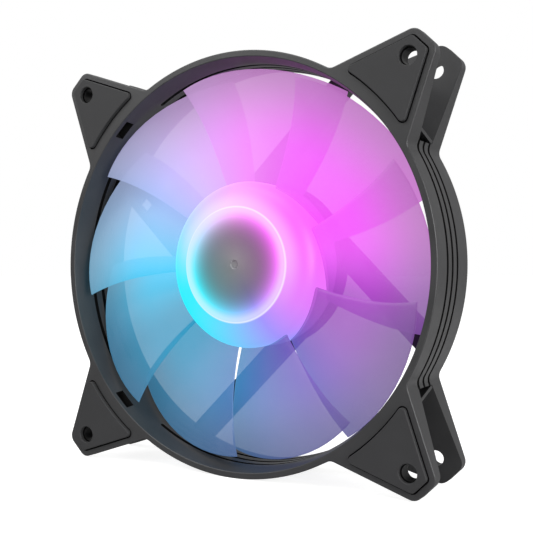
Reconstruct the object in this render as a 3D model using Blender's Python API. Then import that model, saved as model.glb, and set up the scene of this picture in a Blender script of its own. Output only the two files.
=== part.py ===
"""A 120 mm case fan: square-eared frame, nine-blade impeller and the motor inside its hub.

Metres, +Z up. The fan's axis is Y: the intake face looks along -Y and the struts are at +Y.
The origin is the centre of the fan.
"""

import math

import bmesh
import bpy
from mathutils import Matrix, Vector

MM = 0.001
GAP = 0.3 * MM
CUT_MARGIN = 2.0 * MM

# Frame
FRONT = -12.5 * MM
REAR = 12.5 * MM
RING_RADIUS = 60.0 * MM
RING_STEPS = 72
BORE_PROFILE = (
    (58.2 * MM, FRONT - CUT_MARGIN),
    (58.2 * MM, FRONT),
    (57.3 * MM, -8.0 * MM),
    (57.3 * MM, 6.5 * MM),
    (58.6 * MM, REAR),
    (58.6 * MM, REAR + CUT_MARGIN),
)
EAR_ROOT = Vector((51.8, 30.5)) * MM
EAR_TIP = Vector((59.9, 54.25)) * MM
EAR_ALONG = (EAR_TIP - EAR_ROOT).normalized()
EAR_OUT = Vector((EAR_ALONG.y, -EAR_ALONG.x))
EAR_CORNER_RADIUS = 3.0 * MM
NECK_FILLET = 3.0 * MM
NECK_CLOSURE = 1.85 * MM
GAP_START_ANGLE = 33.0
GAP_SIDE_REACH = 12.0 * MM
GAP_TIP_REACH = 8.0 * MM
PLATE_TIP_DISTANCE = 78.0 * MM
PLATE_TIP_THICKNESS = 4.0 * MM
PLATE_TAPER = 0.19
GUSSET_THICKNESS = 0.8 * MM
GUSSET_FRONT_END = Vector((5.2 * MM, FRONT + 5.3 * MM))
GUSSET_REAR_END = Vector((2.2 * MM, FRONT + 18.0 * MM))
GUSSET_FRONT_DEPTH = 8.6 * MM
GUSSET_REAR_DEPTH = 4.4 * MM
GUSSET_INSET = 0.12 * MM
HOLE_OFFSET = 52.5 * MM
SCREW_HOLE_RADIUS = 2.15 * MM
SLOT_DEPTHS = (-4.6 * MM, -0.6 * MM, 3.4 * MM)
SLOT_WIDTH = 1.4 * MM
SLOT_HALF_ANGLE = 32.0
SLOT_CUT_MARGIN = 3.0 * MM
WINDOW_HALF_ANGLE = 3.0
WINDOW_SHIFT = 0.5
WINDOW_FRONT = -11.2 * MM
WINDOW_REAR = -8.4 * MM
WINDOW_DEPTH = 2.4 * MM

# Corner pads
PAD_INSET = 1.9 * MM
PAD_INNER_RADIUS = 61.8 * MM
PAD_CORNER_RADIUS = 1.2 * MM
PAD_PROUD = 1.0 * MM
PAD_RECESS = 0.6 * MM
PAD_HOLE_RADIUS = 2.47 * MM
PAD_RING_CORNER = 4.0

# Struts and motor base
STRUT_NEAR = 16.5 * MM
STRUT_FAR = 23.2 * MM
WIDE_STRUT_NEAR = 12.0 * MM
STRUT_FRONT = 8.4 * MM
STRUT_REAR = 12.0 * MM
STRUT_ROOT_RADIUS = 23.4 * MM
STRUT_END_RADIUS = 59.2 * MM
BASE_RADIUS = 24.5 * MM
BASE_INNER_RADIUS = 22.6 * MM
BASE_RIM = 6.2 * MM
BASE_FLOOR = 10.2 * MM
BASE_REAR = 12.3 * MM
BOSS_RADIUS = 6.0 * MM
BOSS_FRONT = 8.7 * MM
LABEL_RADIUS = 20.0 * MM
LABEL_RECESS = 0.5 * MM
CABLE_OFFSET = 19.4 * MM
CABLE_SLOT_WIDTH = 4.4 * MM
CABLE_WINDOW_ALONG = 47.0 * MM
CABLE_CHANNEL_START = 10.0 * MM
CABLE_CHANNEL_FLOOR = 10.8 * MM

# Impeller
HUB_RADIUS = 24.0 * MM
HUB_WALL = 1.6 * MM
HUB_FRONT = -11.4 * MM
HUB_REAR = 5.7 * MM
PLATEAU_RADIUS = 16.4 * MM
PLATEAU_CHAMFER = 0.4 * MM
SHOULDER_REAR = -4.5 * MM
SHOULDER_CONTROL = -8.9 * MM
SHOULDER_STEPS = 5
SKIRT_INNER_RADIUS = 17.1 * MM
SKIRT_OUTER_RADIUS = 18.3 * MM
SKIRT_REAR = 1.1 * MM
BLADE_COUNT = 9
BLADE_ROOT_RADIUS = 23.1 * MM
BLADE_TIP_RADIUS = 56.2 * MM
BLADE_SPAN_STEPS = 5
BLADE_CHORD_STEPS = 6
BLADE_ROOT_THICKNESS = 1.7 * MM
BLADE_TIP_THICKNESS = 1.1 * MM
BLADE_ROOT_HALF_ANGLE = 25.0
BLADE_TIP_HALF_ANGLE = 25.0
BLADE_SWEEP = 5.0
BLADE_ROOT_LEAD = -5.2 * MM
BLADE_TIP_LEAD = -9.6 * MM
BLADE_ROOT_TRAIL = 4.0 * MM
BLADE_TIP_TRAIL = 4.2 * MM
BLADE_ROOT_CAMBER = 1.6 * MM
BLADE_TIP_CAMBER = 2.3 * MM
BLADE_TIP_CUTBACK = 1.7 * MM

# Motor
YOKE_RADIUS = 16.8 * MM
YOKE_INNER_RADIUS = 15.8 * MM
YOKE_FRONT = -9.3 * MM
YOKE_WALL = 1.0 * MM
MAGNET_INNER_RADIUS = 13.7 * MM
SHAFT_RADIUS = 1.5 * MM
SHAFT_REAR = 8.9 * MM
SHAFT_CHAMFER = 0.3 * MM
TUBE_RADIUS = 3.6 * MM
TUBE_INNER_RADIUS = 2.8 * MM
TUBE_FRONT = -7.4 * MM
BUSH_RADIUS = 3.4 * MM
BUSH_REAR = -7.8 * MM
CLIP_RADIUS = 2.3 * MM
CLIP_FRONT = 7.6 * MM
CLIP_REAR = 7.9 * MM
CLIP_GROOVE_RADIUS = 1.1 * MM
SEAL_FRONT = -7.2 * MM
SLEEVE_FRONT = -6.6 * MM
SLEEVE_REAR = 7.2 * MM
THRUST_PAD_FRONT = 9.2 * MM
THRUST_PAD_REAR = 9.6 * MM
CORE_RADIUS = 13.2 * MM
CORE_FRONT = -5.0 * MM
CORE_REAR = 0.0 * MM
CORE_BORE_RADIUS = 4.0 * MM
CORE_HUB_RADIUS = 5.5 * MM
CORE_ARM_HALF = 2.5 * MM
CORE_SHOE_ANGLE = 30.0
SHOE_INNER_RADIUS = 11.6 * MM
INSULATION = 0.6 * MM
INSULATOR_HUB_RADIUS = 5.7 * MM
INSULATOR_ARM_HALF = 2.9 * MM
INSULATOR_RADIUS = 12.8 * MM
INSULATOR_SHOE_ANGLE = 26.0
INSULATOR_LUG_RADIUS = 10.5 * MM
COIL_NEAR = 6.2 * MM
COIL_FAR = 9.7 * MM
COIL_INNER_HALF = (3.3 * MM, 3.7 * MM)
COIL_OUTER_HALF = (4.9 * MM, 5.0 * MM)
COIL_INNER_CHAMFER = 0.3 * MM
COIL_OUTER_CHAMFER = 1.4 * MM
BOARD_FRONT = 7.1 * MM
BOARD_REAR = 8.3 * MM
BOARD_RADIUS = 22.0 * MM
BOARD_BORE_RADIUS = 4.1 * MM
LED_COUNT = 8
LED_RING_RADIUS = 20.0 * MM
LED_SIZE = Vector((3.5, 1.6, 2.8)) * MM
PIN_RADIUS = 0.4 * MM
PIN_RING_RADIUS = 9.5 * MM
PIN_ANGLES = (45.0, 135.0, 225.0)
PIN_FRONT = 1.2 * MM
PIN_REAR = 8.8 * MM
SENSOR_SIZE = Vector((4.0, 1.5, 3.0)) * MM
SENSOR_PLACE = (14.6 * MM, 45.0)
DRIVER_SIZE = Vector((5.0, 1.5, 4.0)) * MM
DRIVER_PLACE = (13.0 * MM, 180.0)
CAPACITOR_RADIUS = 2.0 * MM
CAPACITOR_HEIGHT = 3.2 * MM
CAPACITOR_PLACE = (13.5 * MM, 270.0)

CORNERS = (("tr", 0), ("tl", 1), ("bl", 2), ("br", 3))


def clear_scene():
    for obj in list(bpy.data.objects):
        bpy.data.objects.remove(obj, do_unlink=True)


def polar(radius, degrees, centre=Vector((0.0, 0.0))):
    angle = math.radians(degrees)
    return centre + Vector((math.cos(angle), math.sin(angle))) * radius


def arc(radius, start, end, steps, centre=Vector((0.0, 0.0))):
    """Points on a circle in the XZ plane, both ends included, angles in degrees."""
    return [polar(radius, start + (end - start) * i / steps, centre) for i in range(steps + 1)]


def short_arc(radius, start, end, steps, centre):
    """The shorter of the two arcs between two angles."""
    sweep = (end - start + 180) % 360 - 180
    return arc(radius, start, start + sweep, steps, centre)


def angle_of(vector):
    return math.degrees(math.atan2(vector.y, vector.x))


def swapped(points):
    """The outline mirrored about the ear's diagonal, in reverse order so that it stays one loop."""
    return [Vector((p.y, p.x)) for p in reversed(points)]


def turned_by(points, degrees):
    turn = Matrix.Rotation(math.radians(degrees), 2)
    return [turn @ p for p in points]


def rounded_corner(before, corner, after, radius, steps):
    """An arc that replaces the corner between two straight edges."""
    to_before = (before - corner).normalized()
    to_after = (after - corner).normalized()
    half = math.acos(to_before.dot(to_after)) / 2
    centre = corner + (to_before + to_after).normalized() * radius / math.sin(half)
    start = angle_of(corner + to_before * radius / math.tan(half) - centre)
    end = angle_of(corner + to_after * radius / math.tan(half) - centre)
    return short_arc(radius, start, end, steps, centre)


def new_object(name, mesh_edit):
    """Makes an object from the bmesh that mesh_edit holds."""
    bmesh.ops.recalc_face_normals(mesh_edit, faces=mesh_edit.faces)
    mesh = bpy.data.meshes.new(name)
    mesh_edit.to_mesh(mesh)
    mesh_edit.free()
    mesh.shade_smooth()
    mesh.set_sharp_from_angle(angle=math.radians(35))
    obj = bpy.data.objects.new(name, mesh)
    bpy.context.scene.collection.objects.link(obj)
    return obj


def add_slab(mesh_edit, outline, front, rear):
    """A flat outline in XZ, extruded along Y."""
    face = mesh_edit.faces.new([mesh_edit.verts.new((p.x, front, p.y)) for p in outline])
    top = bmesh.ops.extrude_face_region(mesh_edit, geom=[face])["geom"]
    moved = [item for item in top if isinstance(item, bmesh.types.BMVert)]
    bmesh.ops.translate(mesh_edit, verts=moved, vec=(0, rear - front, 0))


def slab(name, outline, front, rear):
    mesh_edit = bmesh.new()
    add_slab(mesh_edit, outline, front, rear)
    return new_object(name, mesh_edit)


def turned(name, profile, steps=RING_STEPS):
    """Spins (radius, y) points about the Y axis; a profile that leaves the axis is a closed loop."""
    mesh_edit = bmesh.new()
    points = [mesh_edit.verts.new((radius, y, 0)) for radius, y in profile]
    pairs = list(zip(points, points[1:]))
    if profile[0][0] > 0:
        pairs.append((points[-1], points[0]))
    edges = [mesh_edit.edges.new(pair) for pair in pairs]
    bmesh.ops.spin(
        mesh_edit,
        geom=points + edges,
        axis=(0, 1, 0),
        cent=(0, 0, 0),
        angle=math.tau,
        steps=steps,
        use_merge=True,
    )
    bmesh.ops.remove_doubles(mesh_edit, verts=mesh_edit.verts, dist=1e-7)
    return new_object(name, mesh_edit)


def tube(name, inner, outer, front, rear, steps):
    return turned(name, ((outer, front), (outer, rear), (inner, rear), (inner, front)), steps)


def disc(name, radius, front, rear, steps):
    return turned(name, ((0, front), (radius, front), (radius, rear), (0, rear)), steps)


def block(name, size, centre, turn=0.0):
    """A box of the given size, turned about the fan's axis direction at its own centre."""
    mesh_edit = bmesh.new()
    bmesh.ops.create_cube(mesh_edit, size=1)
    bmesh.ops.scale(mesh_edit, vec=size, verts=mesh_edit.verts)
    obj = new_object(name, mesh_edit)
    obj.rotation_euler = (0, -math.radians(turn), 0)
    obj.location = centre
    return obj


def boolean(target, tool, operation="DIFFERENCE"):
    modifier = target.modifiers.new(tool.name, "BOOLEAN")
    modifier.operation = operation
    modifier.solver = "EXACT"
    modifier.object = tool
    tool.hide_render = True
    tool.display_type = "WIRE"


def paint(obj, name, colour, roughness, metallic=0.0, glow=0.0):
    """Gives the object its material, shared by pieces of the same kind."""
    material = bpy.data.materials.get(name) or bpy.data.materials.new(name)
    material.use_nodes = True
    shader = material.node_tree.nodes["Principled BSDF"]
    shader.inputs["Base Color"].default_value = (*colour, 1)
    shader.inputs["Roughness"].default_value = roughness
    shader.inputs["Metallic"].default_value = metallic
    shader.inputs["Emission Color"].default_value = (*colour, 1)
    shader.inputs["Emission Strength"].default_value = glow
    material.diffuse_color = (*colour, 1)
    obj.data.materials.clear()
    obj.data.materials.append(material)


def neck_arc(steps):
    """The fillet where the ring runs into the ear's side, from the ring outwards."""
    start = EAR_ROOT + EAR_OUT * NECK_FILLET
    reach = RING_RADIUS + NECK_FILLET
    run = start.dot(EAR_ALONG)
    centre = start + EAR_ALONG * (math.sqrt(run * run - start.length_squared + reach * reach) - run)
    return short_arc(NECK_FILLET, angle_of(-centre), angle_of(-EAR_OUT), steps, centre)


def ear_outline(neck_steps=3, corner_steps=4):
    """The ear's edge, from the ring at its lower side to the ring at its upper side."""
    mirrored_tip = Vector((EAR_TIP.y, EAR_TIP.x))
    lower = neck_arc(neck_steps)
    lower += rounded_corner(EAR_ROOT, EAR_TIP, mirrored_tip, EAR_CORNER_RADIUS, corner_steps)
    return lower + swapped(lower)


def body_outline():
    """The ring with its four ears, anticlockwise."""
    ear = ear_outline()
    neck_angle = angle_of(ear[0])
    span = 2 * neck_angle
    steps = round(RING_STEPS * span / 360)
    ring = arc(RING_RADIUS, 90 - neck_angle, 90 + neck_angle, steps)[1:-1]
    return [p for quarter in range(4) for p in turned_by(ear + ring, 90 * quarter)]


def plate_thickness(point):
    """The ear's plates thicken from the tip towards the ring."""
    along_diagonal = (point.x + point.y) / math.sqrt(2)
    return PLATE_TIP_THICKNESS + PLATE_TAPER * (PLATE_TIP_DISTANCE - along_diagonal)


def ear_gap(name, quarter):
    """The space between an ear's two plates, open on three sides."""
    closure = EAR_ROOT + EAR_ALONG * NECK_CLOSURE
    beyond = closure + EAR_OUT * GAP_SIDE_REACH
    far = EAR_TIP + (EAR_OUT + EAR_ALONG) * GAP_TIP_REACH
    side = [polar(RING_RADIUS, GAP_START_ANGLE), closure, beyond, far]
    steps = round(RING_STEPS * (90 - 2 * GAP_START_ANGLE) / 360)
    ring = arc(RING_RADIUS, 90 - GAP_START_ANGLE, GAP_START_ANGLE, steps)
    outline = side + swapped(side)[:-1] + ring[:-1]
    mesh_edit = bmesh.new()
    fronts = [mesh_edit.verts.new((p.x, FRONT + plate_thickness(p), p.y)) for p in outline]
    rears = [mesh_edit.verts.new((p.x, REAR - plate_thickness(p), p.y)) for p in outline]
    mesh_edit.faces.new(fronts)
    mesh_edit.faces.new(rears)
    for i, j in zip(range(-1, len(outline) - 1), range(len(outline))):
        mesh_edit.faces.new((fronts[i], fronts[j], rears[j], rears[i]))
    obj = new_object(name, mesh_edit)
    obj.rotation_euler = (0, -math.radians(90 * quarter), 0)
    return obj


def add_gusset(mesh_edit, place):
    """A thin slanted rib across the gap at an ear's neck, from the front plate to the rear one.

    Its ends are given as the distance along the ear's side and the depth along Y.
    """
    across = (GUSSET_REAR_END - GUSSET_FRONT_END).orthogonal().normalized() * GUSSET_THICKNESS / 2
    corners = []
    for end, inward in ((GUSSET_FRONT_END, GUSSET_FRONT_DEPTH), (GUSSET_REAR_END, GUSSET_REAR_DEPTH)):
        for shift in (across, -across):
            for depth in (GUSSET_INSET, inward):
                along, y = end + shift
                flat = place(EAR_ROOT + EAR_ALONG * along - EAR_OUT * depth)
                corners.append(mesh_edit.verts.new((flat.x, y, flat.y)))
    a, b, c, d, e, f, g, h = corners
    for face in ((a, b, d, c), (e, g, h, f), (a, c, g, e), (b, f, h, d), (a, e, f, b), (c, d, h, g)):
        mesh_edit.faces.new(face)


def gussets():
    mesh_edit = bmesh.new()
    for quarter in range(4):
        turn = Matrix.Rotation(math.radians(90 * quarter), 2)
        add_gusset(mesh_edit, lambda p, turn=turn: turn @ p)
        add_gusset(mesh_edit, lambda p, turn=turn: turn @ Vector((p.y, p.x)))
    return new_object("gusset_ribs", mesh_edit)


def slots():
    """Three long slots through each side of the ring."""
    mesh_edit = bmesh.new()
    steps = 13
    for quarter in range(4):
        middle = 90 * quarter
        start = middle - SLOT_HALF_ANGLE
        end = middle + SLOT_HALF_ANGLE
        outer = arc(RING_RADIUS + SLOT_CUT_MARGIN, start, end, steps)
        inner = arc(BORE_PROFILE[2][0] - CUT_MARGIN, end, start, steps)
        for depth in SLOT_DEPTHS:
            add_slab(mesh_edit, outer + inner, depth - SLOT_WIDTH / 2, depth + SLOT_WIDTH / 2)
    return new_object("slot_cutters", mesh_edit)


def windows():
    """Shallow pockets in the bore, behind the front lip at each corner."""
    mesh_edit = bmesh.new()
    for quarter in range(4):
        middle = 45 + 90 * quarter + WINDOW_SHIFT * (-1) ** quarter
        start = middle - WINDOW_HALF_ANGLE
        end = middle + WINDOW_HALF_ANGLE
        outer = arc(BORE_PROFILE[2][0] + WINDOW_DEPTH, start, end, 2)
        inner = arc(BORE_PROFILE[2][0] - CUT_MARGIN, end, start, 2)
        add_slab(mesh_edit, outer + inner, WINDOW_FRONT, WINDOW_REAR)
    return new_object("window_cutters", mesh_edit)


def screw_holes():
    mesh_edit = bmesh.new()
    for quarter in range(4):
        centre = turned_by([Vector((HOLE_OFFSET, HOLE_OFFSET))], 90 * quarter)[0]
        hole = arc(SCREW_HOLE_RADIUS, 0, 360, 20, centre)[:-1]
        add_slab(mesh_edit, hole, FRONT - CUT_MARGIN, REAR + CUT_MARGIN)
    return new_object("screw_hole_cutters", mesh_edit)


def pad_outline(margin, corner_steps=3):
    """The pad's edge: parallel to the ear's sides and corner, with an arc towards the ring."""
    inset = PAD_INSET - margin
    inner_radius = PAD_INNER_RADIUS - margin
    base = EAR_ROOT - EAR_OUT * inset
    run = base.dot(EAR_ALONG)
    reach = math.sqrt(run * run - base.length_squared + inner_radius * inner_radius) - run
    wing = base + EAR_ALONG * reach
    chamfer_sum = EAR_TIP.x + EAR_TIP.y - inset * math.sqrt(2)
    step = (chamfer_sum - base.x - base.y) / (EAR_ALONG.x + EAR_ALONG.y)
    tip = base + EAR_ALONG * step
    mirrored_tip = Vector((tip.y, tip.x))
    wing_angle = angle_of(wing)
    ring_side = polar(inner_radius, wing_angle + PAD_RING_CORNER)
    lower = rounded_corner(ring_side, wing, tip, PAD_CORNER_RADIUS + margin, corner_steps)
    lower += rounded_corner(wing, tip, mirrored_tip, PAD_CORNER_RADIUS + margin, corner_steps)
    ring_end = wing_angle + PAD_RING_CORNER
    return lower + swapped(lower) + arc(inner_radius, 90 - ring_end, ring_end, 5)


def pad_recesses():
    mesh_edit = bmesh.new()
    for quarter in range(4):
        outline = turned_by(pad_outline(GAP), 90 * quarter)
        add_slab(mesh_edit, outline, FRONT - CUT_MARGIN, FRONT + PAD_RECESS)
        add_slab(mesh_edit, outline, REAR - PAD_RECESS, REAR + CUT_MARGIN)
    return new_object("pad_recess_cutters", mesh_edit)


def strut_outline(near, quarter):
    """A bar beside the diagonal, from the motor base to the ring."""
    direction = 45 + 90 * quarter

    def angles(radius):
        return [direction + math.degrees(math.asin(offset / radius)) for offset in (near, STRUT_FAR)]

    near_root, far_root = angles(STRUT_ROOT_RADIUS)
    near_end, far_end = angles(STRUT_END_RADIUS)
    root = arc(STRUT_ROOT_RADIUS, far_root, near_root, 6)
    return root + arc(STRUT_END_RADIUS, near_end, far_end, 2)


def struts():
    mesh_edit = bmesh.new()
    for quarter in range(4):
        near = WIDE_STRUT_NEAR if quarter == 1 else STRUT_NEAR
        add_slab(mesh_edit, strut_outline(near, quarter), STRUT_FRONT, STRUT_REAR)
    return new_object("strut_bars", mesh_edit)


def motor_base():
    boss_inner = TUBE_RADIUS + GAP
    profile = (
        (0, BASE_FLOOR),
        (boss_inner, BASE_FLOOR),
        (boss_inner, BOSS_FRONT),
        (BOSS_RADIUS, BOSS_FRONT),
        (BOSS_RADIUS, BASE_FLOOR),
        (BASE_INNER_RADIUS, BASE_FLOOR),
        (BASE_INNER_RADIUS, BASE_RIM),
        (BASE_RADIUS, BASE_RIM),
        (BASE_RADIUS, BASE_REAR),
        (LABEL_RADIUS + 2 * GAP, BASE_REAR),
        (LABEL_RADIUS + 2 * GAP, BASE_REAR - LABEL_RECESS),
        (0, BASE_REAR - LABEL_RECESS),
    )
    return turned("motor_base_cup", profile, 40)


def cable_path():
    """The lead's way out of the motor: a channel in the wide strut and a window through it."""
    along = polar(1, 135)
    aside = polar(1, 225)
    half = CABLE_SLOT_WIDTH / 2

    def bar(near_along, far_along):
        places = ((near_along, -half), (far_along, -half), (far_along, half), (near_along, half))
        return [along * a + aside * (CABLE_OFFSET + b) for a, b in places]

    mesh_edit = bmesh.new()
    channel_end = RING_RADIUS + CUT_MARGIN
    add_slab(mesh_edit, bar(CABLE_CHANNEL_START, channel_end), CABLE_CHANNEL_FLOOR, REAR + CUT_MARGIN)
    channel = new_object("cable_channel_cutter", mesh_edit)
    mesh_edit = bmesh.new()
    window = bar(CABLE_WINDOW_ALONG - half, CABLE_WINDOW_ALONG + half)
    add_slab(mesh_edit, window, STRUT_FRONT - CUT_MARGIN, REAR + CUT_MARGIN / 2)
    return channel, new_object("cable_window_cutter", mesh_edit)


def frame():
    obj = slab("frame", body_outline(), FRONT, REAR)
    bore = [(0, FRONT - CUT_MARGIN), *BORE_PROFILE, (0, REAR + CUT_MARGIN)]
    boolean(obj, turned("bore_cutter", bore))
    for corner, quarter in CORNERS:
        boolean(obj, ear_gap("ear_gap_cutter_" + corner, quarter))
    boolean(obj, gussets(), "UNION")
    boolean(obj, slots())
    boolean(obj, windows())
    boolean(obj, motor_base_and_struts(), "UNION")
    boolean(obj, screw_holes())
    boolean(obj, pad_recesses())
    for cutter in cable_path():
        boolean(obj, cutter)
    paint(obj, "frame_plastic", (0.06, 0.06, 0.065), 0.5)


def motor_base_and_struts():
    base = motor_base()
    boolean(base, struts(), "UNION")
    return base


def pads():
    for side, outer, inner in (
        ("front", FRONT - PAD_PROUD, FRONT + PAD_RECESS - GAP),
        ("rear", REAR + PAD_PROUD, REAR - PAD_RECESS + GAP),
    ):
        for corner, quarter in CORNERS:
            outline = turned_by(pad_outline(0.0), 90 * quarter)
            pad = slab(side + "_pad_" + corner, outline, min(outer, inner), max(outer, inner))
            centre = turned_by([Vector((HOLE_OFFSET, HOLE_OFFSET))], 90 * quarter)[0]
            hole = arc(PAD_HOLE_RADIUS, 0, 360, 20, centre)[:-1]
            name = side + "_pad_hole_cutter_" + corner
            boolean(pad, slab(name, hole, min(outer, inner) - MM, max(outer, inner) + MM))
            paint(pad, "pad_rubber", (0.05, 0.05, 0.052), 0.75)


def hub_shoulder():
    """Points from the plateau's edge round to the hub's side: a parabola that ends along the axis."""
    start = Vector((PLATEAU_RADIUS, HUB_FRONT + PLATEAU_CHAMFER))
    control = Vector((HUB_RADIUS, SHOULDER_CONTROL))
    end = Vector((HUB_RADIUS, SHOULDER_REAR))
    points = []
    for i in range(SHOULDER_STEPS + 1):
        t = i / SHOULDER_STEPS
        points.append(start * (1 - t) ** 2 + control * 2 * t * (1 - t) + end * t * t)
    return [(p.x, p.y) for p in points]


def hub():
    """The cup that carries the blades, with an inner skirt round the steel yoke."""
    inner_radius = HUB_RADIUS - HUB_WALL
    profile = [(0, HUB_FRONT), (PLATEAU_RADIUS - PLATEAU_CHAMFER, HUB_FRONT)]
    profile += hub_shoulder()
    profile += [
        (HUB_RADIUS, HUB_REAR),
        (inner_radius, HUB_REAR),
        (inner_radius, SHOULDER_REAR),
        (SKIRT_OUTER_RADIUS, SHOULDER_CONTROL + GAP),
        (SKIRT_OUTER_RADIUS, SKIRT_REAR),
        (SKIRT_INNER_RADIUS, SKIRT_REAR),
        (SKIRT_INNER_RADIUS, YOKE_FRONT - 1.3 * GAP),
        (0, YOKE_FRONT - 1.3 * GAP),
    ]
    return turned("impeller", profile, 48)


def blade_point(span, chord):
    """A point of the blade's middle surface; span runs root to tip, chord leading edge to trailing."""
    radius = BLADE_ROOT_RADIUS + (BLADE_TIP_RADIUS - BLADE_ROOT_RADIUS) * span
    radius -= BLADE_TIP_CUTBACK * span * (1 - chord) ** 4
    half_angle = BLADE_ROOT_HALF_ANGLE + (BLADE_TIP_HALF_ANGLE - BLADE_ROOT_HALF_ANGLE) * span
    angle = BLADE_SWEEP * span * span + half_angle * (1 - 2 * chord)
    lead = BLADE_ROOT_LEAD + (BLADE_TIP_LEAD - BLADE_ROOT_LEAD) * span ** 0.8
    trail = BLADE_ROOT_TRAIL + (BLADE_TIP_TRAIL - BLADE_ROOT_TRAIL) * span
    camber = BLADE_ROOT_CAMBER + (BLADE_TIP_CAMBER - BLADE_ROOT_CAMBER) * span
    depth = lead + (trail - lead) * chord - camber * 4 * chord * (1 - chord)
    flat = polar(radius, angle)
    return Vector((flat.x, depth, flat.y))


def blade(name):
    """A cambered, twisted blade with a rounded leading edge."""
    rows = []
    for side in (1, -1):
        grid = []
        for i in range(BLADE_SPAN_STEPS + 1):
            span = i / BLADE_SPAN_STEPS
            thickness = BLADE_ROOT_THICKNESS + (BLADE_TIP_THICKNESS - BLADE_ROOT_THICKNESS) * span
            row = []
            for j in range(BLADE_CHORD_STEPS + 1):
                chord = j / BLADE_CHORD_STEPS
                point = blade_point(span, chord)
                ahead = blade_point(span, min(chord + 0.02, 1)) - blade_point(span, max(chord - 0.02, 0))
                outward = blade_point(min(span + 0.02, 1), chord) - blade_point(max(span - 0.02, 0), chord)
                normal = ahead.cross(outward).normalized()
                fullness = 0.35 + 0.65 * math.sin(math.pi * (0.12 + 0.82 * chord ** 0.7))
                row.append(point + normal * side * thickness / 2 * fullness)
            grid.append(row)
        rows.append(grid)
    mesh_edit = bmesh.new()
    top, bottom = [[[mesh_edit.verts.new(p) for p in row] for row in grid] for grid in rows]
    spans = range(BLADE_SPAN_STEPS)
    chords = range(BLADE_CHORD_STEPS)
    for i in spans:
        for j in chords:
            for grid in (top, bottom):
                mesh_edit.faces.new((grid[i][j], grid[i + 1][j], grid[i + 1][j + 1], grid[i][j + 1]))
    for i in spans:
        for j in (0, BLADE_CHORD_STEPS):
            mesh_edit.faces.new((top[i][j], top[i + 1][j], bottom[i + 1][j], bottom[i][j]))
    for j in chords:
        for i in (0, BLADE_SPAN_STEPS):
            mesh_edit.faces.new((top[i][j], top[i][j + 1], bottom[i][j + 1], bottom[i][j]))
    return new_object(name, mesh_edit)


def impeller(rotor):
    obj = hub()
    for i in range(BLADE_COUNT):
        vane = blade("blade_shape_%d" % (i + 1))
        vane.rotation_euler = (0, -math.tau * i / BLADE_COUNT, 0)
        boolean(obj, vane, "UNION")
    paint(obj, "frosted_plastic", (0.75, 0.72, 0.85), 0.4)
    obj.parent = rotor


def rotor_parts(rotor):
    yoke_inner_front = YOKE_FRONT + YOKE_WALL
    yoke = turned(
        "rotor_yoke",
        (
            (BUSH_RADIUS + GAP, YOKE_FRONT),
            (YOKE_RADIUS, YOKE_FRONT),
            (YOKE_RADIUS, SKIRT_REAR),
            (YOKE_INNER_RADIUS, SKIRT_REAR),
            (YOKE_INNER_RADIUS, yoke_inner_front),
            (BUSH_RADIUS + GAP, yoke_inner_front),
        ),
        40,
    )
    paint(yoke, "plated_steel", (0.45, 0.45, 0.46), 0.35, 1.0)
    magnet_outer = YOKE_INNER_RADIUS - GAP
    magnet_front = yoke_inner_front + GAP
    magnet = tube("magnet_ring", MAGNET_INNER_RADIUS, magnet_outer, magnet_front, SKIRT_REAR - GAP, 40)
    paint(magnet, "ferrite", (0.05, 0.045, 0.045), 0.8)
    shaft = turned(
        "shaft",
        (
            (0, YOKE_FRONT),
            (SHAFT_RADIUS, YOKE_FRONT),
            (SHAFT_RADIUS, CLIP_FRONT - GAP),
            (CLIP_GROOVE_RADIUS, CLIP_FRONT - GAP),
            (CLIP_GROOVE_RADIUS, CLIP_REAR + GAP),
            (SHAFT_RADIUS, CLIP_REAR + GAP),
            (SHAFT_RADIUS, SHAFT_REAR - SHAFT_CHAMFER),
            (SHAFT_RADIUS - SHAFT_CHAMFER, SHAFT_REAR),
            (0, SHAFT_REAR),
        ),
        24,
    )
    paint(shaft, "ground_steel", (0.6, 0.6, 0.62), 0.2, 1.0)
    bush = tube("shaft_bush", SHAFT_RADIUS + GAP, BUSH_RADIUS, YOKE_FRONT, BUSH_REAR, 24)
    paint(bush, "brass", (0.7, 0.52, 0.2), 0.35, 1.0)
    clip = tube("retaining_clip", CLIP_GROOVE_RADIUS + GAP, CLIP_RADIUS, CLIP_FRONT, CLIP_REAR, 20)
    paint(clip, "nylon_white", (0.8, 0.8, 0.76), 0.5)
    for piece in (yoke, magnet, shaft, bush, clip):
        piece.parent = rotor


def bearing_parts():
    bearing_tube = tube("bearing_tube", TUBE_INNER_RADIUS, TUBE_RADIUS, TUBE_FRONT, BASE_FLOOR - GAP, 24)
    paint(bearing_tube, "brass", (0.7, 0.52, 0.2), 0.35, 1.0)
    fit_radius = TUBE_INNER_RADIUS - GAP
    seal = tube("oil_seal", SHAFT_RADIUS + GAP, fit_radius, SEAL_FRONT, SLEEVE_FRONT - GAP, 20)
    paint(seal, "seal_rubber", (0.03, 0.03, 0.03), 0.7)
    sleeve = tube("sleeve_bearing", SHAFT_RADIUS + GAP / 2, fit_radius, SLEEVE_FRONT, SLEEVE_REAR, 24)
    paint(sleeve, "sintered_bronze", (0.5, 0.33, 0.18), 0.6, 1.0)
    pad = disc("thrust_pad", fit_radius, THRUST_PAD_FRONT, THRUST_PAD_REAR, 20)
    paint(pad, "nylon_white", (0.8, 0.8, 0.76), 0.5)


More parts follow.
